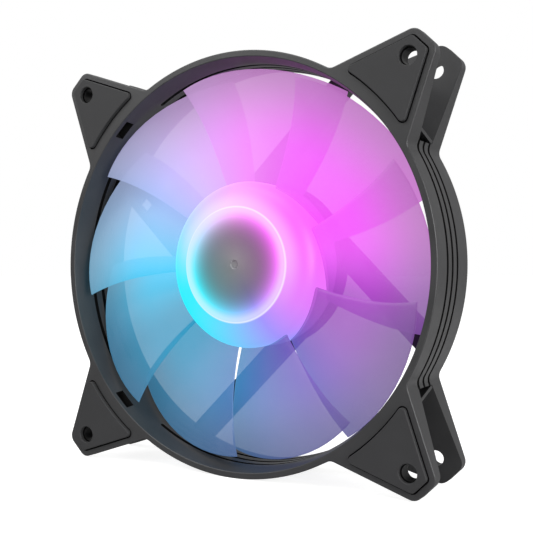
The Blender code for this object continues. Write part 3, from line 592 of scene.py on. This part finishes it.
def impeller():
    """The hub and its blades as one piece, since they are moulded as one."""
    hub_edit = bmesh.new()
    spin(hub_edit, hub_profile(), HUB_STEPS)
    hub = scratch_object("hub_shape", hub_edit)
    blades = [scratch_object("blade_shape_%d" % i, blade_mesh(i)) for i in range(BLADE_COUNT)]
    whole = joined(hub, [(blade, "UNION") for blade in blades])
    for face in whole.faces:
        centre = face.calc_center_median()
        on_blade = math.hypot(centre.x, centre.z) > HUB_RADIUS + SLACK
        face.material_index = 1 if on_blade else 0
    materials = [hub_material(), blade_material()]
    new_piece("lit_impeller", whole, materials, "rotor", ["impeller"], sharp_angle=50)


# ---------------------------------------------------------------- frame


FRONT = -12.5 * MM
REAR = 12.5 * MM
GAP = 0.3 * MM
CUT_MARGIN = 2.0 * MM
RING_RADIUS = 60.0 * MM
RING_STEPS = 240
EDGE_ROUND = 0.35 * MM
LIP_ROUND = 0.3 * MM
ROUND_STEPS = 4
BORE_FRONT_RADIUS = 58.2 * MM
BORE_RADIUS = 57.3 * MM
BORE_REAR_RADIUS = 58.6 * MM
BORE_STRAIGHT_FRONT = -8.0 * MM
BORE_STRAIGHT_REAR = 6.5 * MM
EAR_ROOT = Vector((51.8, 30.5)) * MM
EAR_TIP = Vector((59.9, 54.25)) * MM
EAR_ALONG = (EAR_TIP - EAR_ROOT).normalized()
EAR_OUT = Vector((EAR_ALONG.y, -EAR_ALONG.x))
EAR_CORNER_RADIUS = 3.0 * MM
NECK_FILLET = 3.0 * MM
NECK_CLOSURE = 1.85 * MM
GAP_START_ANGLE = 33.0
GAP_SIDE_REACH = 12.0 * MM
GAP_TIP_REACH = 8.0 * MM
PLATE_TIP_DISTANCE = 78.0 * MM
PLATE_TIP_THICKNESS = 4.0 * MM
PLATE_TAPER = 0.19
GUSSET_THICKNESS = 0.8 * MM
GUSSET_FRONT_END = Vector((5.2 * MM, FRONT + 5.3 * MM))
GUSSET_REAR_END = Vector((2.2 * MM, FRONT + 18.0 * MM))
GUSSET_FRONT_DEPTH = 8.6 * MM
GUSSET_REAR_DEPTH = 4.4 * MM
GUSSET_INSET = 0.12 * MM
HOLE_OFFSET = 52.5 * MM
SCREW_HOLE_RADIUS = 2.15 * MM
HOLE_STEPS = 48
SLOT_DEPTHS = (-4.6 * MM, -0.6 * MM, 3.4 * MM)
SLOT_WIDTH = 1.4 * MM
SLOT_HALF_ANGLE = 32.0
SLOT_CUT_MARGIN = 3.0 * MM
SLOT_STEPS = 44
SLOT_END_STEPS = 8
WINDOW_HALF_ANGLE = 3.0
WINDOW_SHIFT = 0.5
WINDOW_FRONT = -11.2 * MM
WINDOW_REAR = -8.4 * MM
WINDOW_DEPTH = 2.4 * MM
PAD_INSET = 1.9 * MM
PAD_INNER_RADIUS = 61.8 * MM
PAD_CORNER_RADIUS = 1.2 * MM
PAD_PROUD = 1.0 * MM
PAD_RECESS = 0.6 * MM
PAD_HOLE_RADIUS = 2.47 * MM
PAD_RING_CORNER = 4.0
PAD_ROUND = 0.22 * MM
PAD_EASE = 0.12 * MM
STRUT_NEAR = 16.5 * MM
STRUT_FAR = 23.2 * MM
WIDE_STRUT_NEAR = 12.0 * MM
STRUT_FRONT = 8.4 * MM
STRUT_REAR = 12.0 * MM
STRUT_ROOT_RADIUS = 23.4 * MM
STRUT_END_RADIUS = 59.2 * MM
BASE_RADIUS = 24.5 * MM
BASE_INNER_RADIUS = 22.6 * MM
BASE_RIM = 6.2 * MM
BASE_FLOOR = 10.2 * MM
BASE_REAR = 12.3 * MM
BASE_ROUND = 0.3 * MM
BASE_STEPS = 96
BOSS_BORE_RADIUS = 3.9 * MM
BOSS_RADIUS = 6.0 * MM
BOSS_FRONT = 8.7 * MM
LABEL_SEAT_RADIUS = 20.6 * MM
LABEL_RECESS = 0.5 * MM
LABEL_SEAT_ROUND = 0.15 * MM
CABLE_DIRECTION = 135.0
CABLE_OFFSET = 19.4 * MM
CABLE_SLOT_WIDTH = 4.4 * MM
CABLE_WINDOW_ALONG = 47.0 * MM
CABLE_CHANNEL_START = 10.0 * MM
CABLE_CHANNEL_FLOOR = 10.8 * MM
CORNERS = (("tr", 0), ("tl", 1), ("bl", 2), ("br", 3))
FLAT_ANGLE = 40


def arc(radius, start, end, steps, centre=Vector((0.0, 0.0))):
    """Points on a circle in the XZ plane, both ends included, angles in degrees."""
    return [centre + polar(radius, start + (end - start) * i / steps) for i in range(steps + 1)]


def short_arc(radius, start, end, steps, centre):
    sweep = (end - start + 180) % 360 - 180
    return arc(radius, start, start + sweep, steps, centre)


def angle_of(vector):
    return math.degrees(math.atan2(vector.y, vector.x))


def swapped(points):
    """The outline mirrored about the ear's diagonal, in reverse order so that it stays one loop."""
    return [Vector((p.y, p.x)) for p in reversed(points)]


def turned_by(points, degrees):
    turn = Matrix.Rotation(math.radians(degrees), 2)
    return [turn @ p for p in points]


def rounded_corner(before, corner, after, radius, steps):
    """An arc that replaces the corner between two straight edges."""
    to_before = (before - corner).normalized()
    to_after = (after - corner).normalized()
    half = math.acos(to_before.dot(to_after)) / 2
    centre = corner + (to_before + to_after).normalized() * radius / math.sin(half)
    start = angle_of(corner + to_before * radius / math.tan(half) - centre)
    end = angle_of(corner + to_after * radius / math.tan(half) - centre)
    return short_arc(radius, start, end, steps, centre)


def inset(outline, distance):
    """The outline of an anticlockwise loop moved inwards."""
    moved = []
    for before, point, after in zip(outline[-1:] + outline[:-1], outline, outline[1:] + outline[:1]):
        along = ((point - before).normalized() + (after - point).normalized()).normalized()
        moved.append(point + Vector((-along.y, along.x)) * distance)
    return moved


def add_layers(mesh_edit, layers):
    """A closed body through (outline, y) layers that have the same number of points."""
    rings = [[mesh_edit.verts.new((p.x, y, p.y)) for p in outline] for outline, y in layers]
    for first, second in zip(rings, rings[1:]):
        for i in range(len(first)):
            mesh_edit.faces.new((first[i - 1], first[i], second[i], second[i - 1]))
    mesh_edit.faces.new(rings[0])
    mesh_edit.faces.new(rings[-1])


def edge_offsets(radius, turn):
    """How far a rounded edge lies inside the outline and behind its face at an angle of the round."""
    return radius * (1 - math.sin(turn)), radius * (1 - math.cos(turn))


def add_slab(mesh_edit, outline, front, rear, front_round=0.0, rear_round=0.0):
    """A flat outline in XZ, extruded along Y, with its edges rounded if asked."""
    layers = []
    quarter = [math.pi / 2 * i / ROUND_STEPS for i in range(ROUND_STEPS + 1)]
    for turn in quarter if front_round else [math.pi / 2]:
        inside, behind = edge_offsets(front_round, turn)
        layers.append((inset(outline, inside), front + behind))
    for turn in reversed(quarter) if rear_round else [math.pi / 2]:
        inside, behind = edge_offsets(rear_round, turn)
        layers.append((inset(outline, inside), rear - behind))
    add_layers(mesh_edit, layers)


def slab(name, outline, front, rear, front_round=0.0, rear_round=0.0):
    mesh_edit = bmesh.new()
    add_slab(mesh_edit, outline, front, rear, front_round, rear_round)
    return scratch_object(name, mesh_edit)


def neck_arc(steps):
    """The fillet where the ring runs into the ear's side, from the ring outwards."""
    start = EAR_ROOT + EAR_OUT * NECK_FILLET
    reach = RING_RADIUS + NECK_FILLET
    run = start.dot(EAR_ALONG)
    centre = start + EAR_ALONG * (math.sqrt(run * run - start.length_squared + reach * reach) - run)
    return short_arc(NECK_FILLET, angle_of(-centre), angle_of(-EAR_OUT), steps, centre)


def body_outline():
    """The ring with its four ears, anticlockwise."""
    mirrored_tip = Vector((EAR_TIP.y, EAR_TIP.x))
    lower = neck_arc(steps=8)
    lower += rounded_corner(EAR_ROOT, EAR_TIP, mirrored_tip, EAR_CORNER_RADIUS, steps=10)
    ear = lower + swapped(lower)
    neck_angle = angle_of(ear[0])
    steps = round(RING_STEPS * 2 * neck_angle / 360)
    ring = arc(RING_RADIUS, 90 - neck_angle, 90 + neck_angle, steps)[1:-1]
    return [p for quarter in range(4) for p in turned_by(ear + ring, 90 * quarter)]


def bore_profile():
    """The bore with its rounded lips and the flare towards each face."""
    front_end = (BORE_RADIUS, BORE_STRAIGHT_FRONT)
    rear_end = (BORE_RADIUS, BORE_STRAIGHT_REAR)
    front_lip = (BORE_FRONT_RADIUS, FRONT)
    rear_lip = (BORE_REAR_RADIUS, REAR)
    front_round = round_off((BORE_FRONT_RADIUS + MM, FRONT), front_lip, front_end, LIP_ROUND)
    rear_round = round_off(rear_end, rear_lip, (BORE_REAR_RADIUS + MM, REAR), LIP_ROUND)
    points = [(0, FRONT - CUT_MARGIN), (front_round[0][0], FRONT - CUT_MARGIN), *front_round]
    points += [front_end, rear_end, *rear_round]
    return points + [(rear_round[-1][0], REAR + CUT_MARGIN), (0, REAR + CUT_MARGIN)]


def plate_thickness(point):
    """The ear's plates thicken from the tip towards the ring."""
    along_diagonal = (point.x + point.y) / math.sqrt(2)
    return PLATE_TIP_THICKNESS + PLATE_TAPER * (PLATE_TIP_DISTANCE - along_diagonal)


def ear_gap(quarter):
    """The space between an ear's two plates, open on three sides."""
    closure = EAR_ROOT + EAR_ALONG * NECK_CLOSURE
    beyond = closure + EAR_OUT * GAP_SIDE_REACH
    far = EAR_TIP + (EAR_OUT + EAR_ALONG) * GAP_TIP_REACH
    side = [polar(RING_RADIUS, GAP_START_ANGLE), closure, beyond, far]
    steps = round(RING_STEPS * (90 - 2 * GAP_START_ANGLE) / 360)
    ring = arc(RING_RADIUS, 90 - GAP_START_ANGLE, GAP_START_ANGLE, steps)
    outline = side + swapped(side)[:-1] + ring[:-1]
    turned_outline = turned_by(outline, 90 * quarter)
    mesh_edit = bmesh.new()
    sides = []
    for face, sign in ((FRONT, 1), (REAR, -1)):
        depths = [face + sign * plate_thickness(p) for p in outline]
        sides.append([mesh_edit.verts.new((p.x, y, p.y)) for p, y in zip(turned_outline, depths)])
    fronts, rears = sides
    mesh_edit.faces.new(fronts)
    mesh_edit.faces.new(rears)
    for i in range(len(outline)):
        mesh_edit.faces.new((fronts[i - 1], fronts[i], rears[i], rears[i - 1]))
    return scratch_object("ear_gap_cutter_%d" % quarter, mesh_edit)


def add_gusset(mesh_edit, place):
    """A thin slanted rib across the gap at an ear's neck, from the front plate to the rear one."""
    across = (GUSSET_REAR_END - GUSSET_FRONT_END).orthogonal().normalized() * GUSSET_THICKNESS / 2
    corners = []
    for end, inward in ((GUSSET_FRONT_END, GUSSET_FRONT_DEPTH), (GUSSET_REAR_END, GUSSET_REAR_DEPTH)):
        for shift in (across, -across):
            for depth in (GUSSET_INSET, inward):
                along, y = end + shift
                flat = place(EAR_ROOT + EAR_ALONG * along - EAR_OUT * depth)
                corners.append(mesh_edit.verts.new((flat.x, y, flat.y)))
    a, b, c, d, e, f, g, h = corners
    for face in ((a, b, d, c), (e, g, h, f), (a, c, g, e), (b, f, h, d), (a, e, f, b), (c, d, h, g)):
        mesh_edit.faces.new(face)


def gussets():
    mesh_edit = bmesh.new()
    for quarter in range(4):
        turn = Matrix.Rotation(math.radians(90 * quarter), 2)
        add_gusset(mesh_edit, lambda p, turn=turn: turn @ p)
        add_gusset(mesh_edit, lambda p, turn=turn: turn @ Vector((p.y, p.x)))
    return scratch_object("gusset_ribs", mesh_edit)


def slots():
    """Three long slots through each side of the ring, with round ends."""
    mesh_edit = bmesh.new()
    half = SLOT_WIDTH / 2
    for quarter in range(4):
        for depth in SLOT_DEPTHS:
            layers = []
            for i in range(SLOT_END_STEPS + 1):
                y = half * math.sin(math.pi * (i / SLOT_END_STEPS - 0.5))
                shortening = math.degrees((half - math.sqrt(max(half * half - y * y, 0))) / RING_RADIUS)
                start = 90 * quarter - SLOT_HALF_ANGLE + shortening
                end = 90 * quarter + SLOT_HALF_ANGLE - shortening
                outer = arc(RING_RADIUS + SLOT_CUT_MARGIN, start, end, SLOT_STEPS)
                inner = arc(BORE_RADIUS - CUT_MARGIN, end, start, SLOT_STEPS)
                layers.append((outer + inner, depth + y))
            add_layers(mesh_edit, layers)
    return scratch_object("slot_cutters", mesh_edit)


def windows():
    """Shallow pockets in the bore, behind the front lip at each corner."""
    mesh_edit = bmesh.new()
    for quarter in range(4):
        middle = 45 + 90 * quarter + WINDOW_SHIFT * (-1) ** quarter
        start = middle - WINDOW_HALF_ANGLE
        end = middle + WINDOW_HALF_ANGLE
        outer = arc(BORE_RADIUS + WINDOW_DEPTH, start, end, steps=6)
        inner = arc(BORE_RADIUS - CUT_MARGIN, end, start, steps=6)
        add_slab(mesh_edit, outer + inner, WINDOW_FRONT, WINDOW_REAR)
    return scratch_object("window_cutters", mesh_edit)


def hole_centre(quarter):
    return turned_by([Vector((HOLE_OFFSET, HOLE_OFFSET))], 90 * quarter)[0]


def screw_holes():
    mesh_edit = bmesh.new()
    for quarter in range(4):
        hole = arc(SCREW_HOLE_RADIUS, 0, 360, HOLE_STEPS, hole_centre(quarter))[:-1]
        add_slab(mesh_edit, hole, FRONT - CUT_MARGIN, REAR + CUT_MARGIN)
    return scratch_object("screw_hole_cutters", mesh_edit)


def pad_outline(margin):
    """The pad's edge: parallel to the ear's sides and corner, with an arc towards the ring."""
    inset_by = PAD_INSET - margin
    inner_radius = PAD_INNER_RADIUS - margin
    base = EAR_ROOT - EAR_OUT * inset_by
    run = base.dot(EAR_ALONG)
    reach = math.sqrt(run * run - base.length_squared + inner_radius * inner_radius) - run
    wing = base + EAR_ALONG * reach
    chamfer_sum = EAR_TIP.x + EAR_TIP.y - inset_by * math.sqrt(2)
    step = (chamfer_sum - base.x - base.y) / (EAR_ALONG.x + EAR_ALONG.y)
    tip = base + EAR_ALONG * step
    mirrored_tip = Vector((tip.y, tip.x))
    ring_end = angle_of(wing) + PAD_RING_CORNER
    ring_side = polar(inner_radius, ring_end)
    lower = rounded_corner(ring_side, wing, tip, PAD_CORNER_RADIUS + margin, steps=8)
    lower += rounded_corner(wing, tip, mirrored_tip, PAD_CORNER_RADIUS + margin, steps=6)
    return lower + swapped(lower) + arc(inner_radius, 90 - ring_end, ring_end, steps=16)


def pad_recesses():
    """Seats for the pads in both faces of every ear, with a narrow gap round each pad."""
    mesh_edit = bmesh.new()
    for quarter in range(4):
        outline = turned_by(pad_outline(GAP), 90 * quarter)
        add_slab(mesh_edit, outline, FRONT - CUT_MARGIN, FRONT + PAD_RECESS)
        add_slab(mesh_edit, outline, REAR - PAD_RECESS, REAR + CUT_MARGIN)
    return scratch_object("pad_recess_cutters", mesh_edit)


def strut_outline(near, quarter):
    """A bar beside the diagonal, from the motor base to the ring."""
    direction = 45 + 90 * quarter

    def angles(radius):
        return [direction + math.degrees(math.asin(offset / radius)) for offset in (near, STRUT_FAR)]

    near_root, far_root = angles(STRUT_ROOT_RADIUS)
    near_end, far_end = angles(STRUT_END_RADIUS)
    root = arc(STRUT_ROOT_RADIUS, far_root, near_root, steps=12)
    return (root + arc(STRUT_END_RADIUS, near_end, far_end, steps=4))[::-1]


def struts():
    """Four bars, the one with the lead wider than the others."""
    mesh_edit = bmesh.new()
    for quarter in range(4):
        near = WIDE_STRUT_NEAR if quarter == 1 else STRUT_NEAR
        add_slab(mesh_edit, strut_outline(near, quarter), STRUT_FRONT, STRUT_REAR)
    return scratch_object("strut_bars", mesh_edit)


def motor_base():
    """The cup behind the motor, with a boss for the bearing and a seat for the label."""
    rim_corner = (BASE_RADIUS, BASE_RIM)
    rear_corner = (BASE_RADIUS, BASE_REAR)
    seat_edge = (LABEL_SEAT_RADIUS, BASE_REAR)
    seat_floor = (LABEL_SEAT_RADIUS, BASE_REAR - LABEL_RECESS)
    rim = round_off((BASE_INNER_RADIUS, BASE_RIM), rim_corner, rear_corner, BASE_ROUND)
    rear_edge = round_off(rim_corner, rear_corner, seat_edge, BASE_ROUND)
    profile = [(0, BASE_FLOOR), (BOSS_BORE_RADIUS, BASE_FLOOR), (BOSS_BORE_RADIUS, BOSS_FRONT)]
    profile += [(BOSS_RADIUS, BOSS_FRONT), (BOSS_RADIUS, BASE_FLOOR), (BASE_INNER_RADIUS, BASE_FLOOR)]
    profile += [(BASE_INNER_RADIUS, BASE_RIM), *rim, *rear_edge]
    profile += [*round_off(rear_corner, seat_edge, seat_floor, LABEL_SEAT_ROUND), seat_floor]
    profile.append((0, BASE_REAR - LABEL_RECESS))
    mesh_edit = bmesh.new()
    spin(mesh_edit, profile, BASE_STEPS)
    return scratch_object("motor_base_cup", mesh_edit)


def cable_path():
    """The lead's way out of the motor: a channel in the wide strut and a window through it."""
    along = polar(1, CABLE_DIRECTION)
    aside = polar(1, CABLE_DIRECTION + 90)
    half = CABLE_SLOT_WIDTH / 2

    def bar(near_along, far_along):
        places = ((near_along, -half), (far_along, -half), (far_along, half), (near_along, half))
        return [along * a + aside * (CABLE_OFFSET + b) for a, b in places]

    channel = bar(CABLE_CHANNEL_START, RING_RADIUS + CUT_MARGIN)
    window = bar(CABLE_WINDOW_ALONG - half, CABLE_WINDOW_ALONG + half)
    return (
        slab("cable_channel_cutter", channel, CABLE_CHANNEL_FLOOR, REAR + CUT_MARGIN),
        slab("cable_window_cutter", window, STRUT_FRONT - CUT_MARGIN, REAR + CUT_MARGIN / 2),
    )


def gets_painted_shade(face):
    """Whether a face lies in a slot, in a window or in the gap round a pad, where almost no light gets; such
    faces get painted shade, a near-black material.
    """
    depths = [vertex.co.y for vertex in face.verts]
    radii = [math.hypot(vertex.co.x, vertex.co.z) for vertex in face.verts]
    radius = sum(radii) / len(radii)
    farthest = max(abs(depth) for depth in depths)
    nearest = min(abs(depth) for depth in depths)
    recess_floor = REAR - PAD_RECESS

    def between(front, rear):
        return front - SLACK < min(depths) and max(depths) < rear + SLACK

    if radius > RING_RADIUS + MM and farthest > recess_floor - SLACK:
        is_wall = abs(face.normal.y) < 0.01 and farthest > REAR - SLACK and nearest > recess_floor - SLACK
        is_floor = abs(face.normal.y) > 0.99 and farthest < recess_floor + SLACK
        return is_wall or is_floor
    if radius < BORE_RADIUS + 2 * SLACK:
        return False
    if any(between(depth - SLOT_WIDTH / 2, depth + SLOT_WIDTH / 2) for depth in SLOT_DEPTHS):
        return radius < RING_RADIUS + SLOT_CUT_MARGIN
    return between(WINDOW_FRONT, WINDOW_REAR) and max(radii) < BORE_RADIUS + WINDOW_DEPTH + SLACK


def detailed_frame(plastic, painted_shade):
    """The whole frame in one piece; its deep recesses get a near-black material as painted shade."""
    body = slab("frame_body", body_outline(), FRONT, REAR, EDGE_ROUND, EDGE_ROUND)
    bore_edit = bmesh.new()
    spin(bore_edit, bore_profile(), RING_STEPS)
    base = scratch_object("base_and_struts", joined(motor_base(), [(struts(), "UNION")]))
    steps = [(scratch_object("bore_cutter", bore_edit), "DIFFERENCE")]
    steps += [(ear_gap(quarter), "DIFFERENCE") for quarter in range(4)]
    steps += [(gussets(), "UNION"), (slots(), "DIFFERENCE"), (windows(), "DIFFERENCE"), (base, "UNION")]
    steps += [(tool, "DIFFERENCE") for tool in (screw_holes(), pad_recesses(), *cable_path())]
    whole = joined(body, steps)
    whole.normal_update()
    for face in whole.faces:
        # Faces deep in the slots, windows and pad gaps get the painted shade
        face.material_index = 1 if gets_painted_shade(face) else 0
    materials = [plastic, painted_shade]
    new_piece("detailed_frame", whole, materials, "frame", ["frame"], FLAT_ANGLE, True)


def detailed_pads(rubber):
    """Each pad with a small round along its proud edge and round its hole."""
    for side, outer, inner in (
        ("front", FRONT - PAD_PROUD, FRONT + PAD_RECESS - GAP),
        ("rear", REAR + PAD_PROUD, REAR - PAD_RECESS + GAP),
    ):
        rounds = (PAD_ROUND, 0.0) if outer < inner else (0.0, PAD_ROUND)
        for corner, quarter in CORNERS:
            outline = turned_by(pad_outline(-PAD_EASE), 90 * quarter)
            pad = slab("pad_body", outline, min(outer, inner), max(outer, inner), *rounds)
            outwards = 1 if outer > inner else -1
            flare = round_off(
                (PAD_HOLE_RADIUS, inner),
                (PAD_HOLE_RADIUS, outer),
                (PAD_HOLE_RADIUS + MM, outer),
                PAD_ROUND,
            )
            profile = [(0, inner - outwards * MM), (PAD_HOLE_RADIUS, inner - outwards * MM), *flare]
            profile += [(flare[-1][0], outer + outwards * MM), (0, outer + outwards * MM)]
            hole_edit = bmesh.new()
            spin(hole_edit, profile, HOLE_STEPS)
            centre = hole_centre(quarter)
            bmesh.ops.translate(hole_edit, verts=hole_edit.verts, vec=(centre.x, 0, centre.y))
            whole = joined(pad, [(scratch_object("pad_hole", hole_edit), "DIFFERENCE")])
            name = "%s_pad_%s" % (side, corner)
            new_piece("detailed_" + name, whole, [rubber], "frame", [name], FLAT_ANGLE, True)


# ---------------------------------------------------------------- materials of the frame and the CAD's nodes


BLACK_PLASTIC = (0.0225, 0.0225, 0.0235)
# Painted shade: near black, for the faces deep in slots, windows and the gaps round the pads
RECESS_PAINTED_SHADE = (0.005, 0.005, 0.005)

# The label's printed rings: radii in mm where each starts, is full, starts to fall and is gone
LABEL_OUTER_RING = (18.1, 18.25, 18.65, 18.8)
LABEL_INNER_RING = (7.0, 7.1, 7.3, 7.4)
LABEL_DARK = (0.40, 0.40, 0.42)
LABEL_LIGHT = (0.45, 0.45, 0.46)
LABEL_PRINT = (0.16, 0.16, 0.17)


def label_material():
    """Matt grey film with two thin darker rings, one near its edge and one round its middle."""
    nodes_of = Nodes("label_film")
    place = nodes_of.mesh_position()
    radius = radius_of(nodes_of, place)
    fibres = nodes_of.noise(place, 0.5, 3.0)
    film = nodes_of.ramp(fibres, ((NOISE_LOW, LABEL_DARK), (NOISE_HIGH, LABEL_LIGHT)))
    outer = soft_ring(nodes_of, radius, *LABEL_OUTER_RING)
    inner = soft_ring(nodes_of, radius, *LABEL_INNER_RING)
    printed = nodes_of.mix(nodes_of.math("MAXIMUM", outer, inner), film, LABEL_PRINT)
    nodes_of.link(printed, nodes_of.shader.inputs["Base Color"])
    sheen = nodes_of.smooth(fibres, NOISE_LOW, NOISE_HIGH, 0.36, 0.46)
    nodes_of.link(sheen, nodes_of.shader.inputs["Roughness"])
    nodes_of.bump(nodes_of.noise(place, 0.9, 2.0), 0.4, 0.004 * MM)
    nodes_of.set(Specular_IOR_Level=0.4)
    return nodes_of.material


def finish_nodes(names, material):
    """Gives some of the CAD's nodes one material in place of their own."""
    for name in names:
        obj = nodes[name]
        obj.data.materials.clear()
        obj.data.materials.append(material)


def frame_and_pads():
    plastic = moulded("frame_plastic", BLACK_PLASTIC, 0.42, specular=0.45)
    # Painted shade for the recesses: near black, rough and with little sheen
    painted_shade = moulded("frame_plastic_painted_shade", RECESS_PAINTED_SHADE, 0.8, specular=0.08)
    detailed_frame(plastic, painted_shade)
    rubber = moulded("pad_rubber", BLACK_PLASTIC, 0.62, grain=2.4, grain_depth=0.02, specular=0.35)
    detailed_pads(rubber)


def motor_parts():
    """Materials for the CAD's own meshes, which stay as they are."""
    finish_nodes(["rear_label"], label_material())
    finish_nodes(["bearing_tube", "shaft_bush"], metal("turned_brass", (0.72, 0.5, 0.2), 0.3, 30.0))
    finish_nodes(["oil_seal"], moulded("seal_rubber", (0.02, 0.02, 0.02), 0.7))
    bronze = metal("sintered_bronze", (0.42, 0.27, 0.14), 0.55, MARK_SCALE, depth=0.02, variation=0.35)
    finish_nodes(["sleeve_bearing"], bronze)
    nylon = moulded("nylon", (0.72, 0.71, 0.66), 0.45, variation=0.05)
    finish_nodes(["thrust_pad", "insulator_front", "insulator_rear", "retaining_clip"], nylon)
    laminated = metal("laminated_steel", (0.3, 0.3, 0.31), 0.4, 14.0, depth=0.03, variation=0.4)
    finish_nodes(["stator_core"], laminated)
    coils = [name for name in nodes if name.startswith("coil_")]
    finish_nodes(coils, metal("copper_wire", (0.6, 0.24, 0.09), 0.3, 20.0, depth=0.05, variation=0.3))
    solder_mask = moulded("solder_mask", (0.66, 0.68, 0.65), 0.3, grain=0.8, grain_depth=0.006)
    finish_nodes(["circuit_board"], solder_mask)
    pins = [name for name in nodes if name.startswith("terminal_pin_")]
    finish_nodes(pins, metal("tinned_brass", (0.7, 0.68, 0.62), 0.25, 3.0))
    finish_nodes(["hall_sensor", "driver_chip"], moulded("chip_black", (0.015, 0.015, 0.016), 0.45))
    finish_nodes(["capacitor"], metal("capacitor_can", (0.6, 0.6, 0.62), 0.3, 1.0))
    finish_nodes(["rotor_yoke"], metal("plated_steel", (0.55, 0.55, 0.57), 0.3, 1.0))
    finish_nodes(["magnet_ring"], moulded("ferrite", (0.03, 0.028, 0.028), 0.6, grain=1.2, grain_depth=0.02))
    finish_nodes(["shaft"], metal("ground_steel", (0.62, 0.62, 0.64), 0.18, 18.0))
    leds = [name for name in nodes if name.startswith("led_")]
    finish_nodes(leds, moulded("led_package", (0.75, 0.75, 0.72), 0.35, variation=0.04))


# ---------------------------------------------------------------- floor, light and camera


FLOOR_RADIUS = 5.0
FLOOR_DARK = (0.44, 0.44, 0.44)
FLOOR_LIGHT = (0.46, 0.46, 0.46)

# The floor and the surround look whiter to the camera than the light that they give
FLOOR_SHEEN = 0.86
SURROUND_LIGHT = 0.42
SURROUND_SEEN = 1.0

# Lamps: name, place, width and watts
LAMPS = (
    ("key", (0.62, -0.18, 0.12), 0.45, 5.2),
    ("fill", (-0.3, -0.4, 0.32), 0.4, 1.45),
    ("overhead", (-0.1, -0.25, 0.8), 0.8, 5.6),
)

CAMERA_PLACE = Vector((132.67, -224.31, -0.35)) * MM
CAMERA_TARGET = Vector((11.22, -12.5, -0.51)) * MM
CAMERA_LENS = 60.05
SENSOR_WIDTH = 36.0


def lamp(name, place, width, power):
    """A round soft lamp that points at the middle of the fan."""
    data = bpy.data.lights.new(name, "AREA")
    data.shape = "DISK"
    data.size = width
    data.energy = power
    light = bpy.data.objects.new(name, data)
    light.location = place
    light.rotation_mode = "QUATERNION"
    light.rotation_quaternion = (-Vector(place)).to_track_quat("-Z", "Y")
    bpy.context.scene.collection.objects.link(light)


def pale_floor():
    """A wide floor under the fan, near white to the camera."""
    floor_edit = bmesh.new()
    bmesh.ops.create_circle(floor_edit, cap_ends=True, segments=96, radius=FLOOR_RADIUS)
    mesh = bpy.data.meshes.new("floor")
    floor_edit.to_mesh(mesh)
    floor_edit.free()
    floor = bpy.data.objects.new("floor", mesh)
    floor.location.z = cad_low.z
    bpy.context.scene.collection.objects.link(floor)
    paint = Nodes("floor_paint")
    paint.set(Roughness=0.6, Specular_IOR_Level=0.2)
    speckle = paint.noise(paint.position(), 0.02, 2.0)
    speckled = paint.ramp(speckle, ((NOISE_LOW, FLOOR_DARK), (NOISE_HIGH, FLOOR_LIGHT)))
    paint.link(speckled, paint.shader.inputs["Base Color"])
    seen = paint.add("ShaderNodeLightPath").outputs["Is Camera Ray"]
    paint.link(paint.math("MULTIPLY", seen, FLOOR_SHEEN), paint.shader.inputs["Emission Strength"])
    paint.set(Emission_Color=(1, 1, 1, 1))
    mesh.materials.append(paint.material)


def surround():
    """A white world that lights the fan softly."""
    world = bpy.data.worlds.new("studio_surround")
    world.use_nodes = True
    tree = world.node_tree
    background = tree.nodes["Background"]
    path = tree.nodes.new("ShaderNodeLightPath")
    level = tree.nodes.new("ShaderNodeMapRange")
    level.inputs["To Min"].default_value = SURROUND_LIGHT
    level.inputs["To Max"].default_value = SURROUND_SEEN
    tree.links.new(path.outputs["Is Camera Ray"], level.inputs["Value"])
    tree.links.new(level.outputs["Result"], background.inputs["Strength"])
    background.inputs["Color"].default_value = (1, 1, 1, 1)
    bpy.context.scene.world = world


def camera():
    data = bpy.data.cameras.new("camera")
    data.lens = CAMERA_LENS
    data.sensor_width = SENSOR_WIDTH
    data.clip_start = 0.01
    data.clip_end = 20.0
    cam = bpy.data.objects.new("camera", data)
    cam.location = CAMERA_PLACE
    cam.rotation_mode = "QUATERNION"
    cam.rotation_quaternion = (CAMERA_TARGET - CAMERA_PLACE).to_track_quat("-Z", "Y")
    bpy.context.scene.collection.objects.link(cam)
    bpy.context.scene.camera = cam


frame_and_pads()
motor_parts()
impeller()
pale_floor()
surround()
for name, place, width, power in LAMPS:
    lamp(name, place, width, power)
camera()
bpy.context.scene.view_settings.view_transform = "Standard"
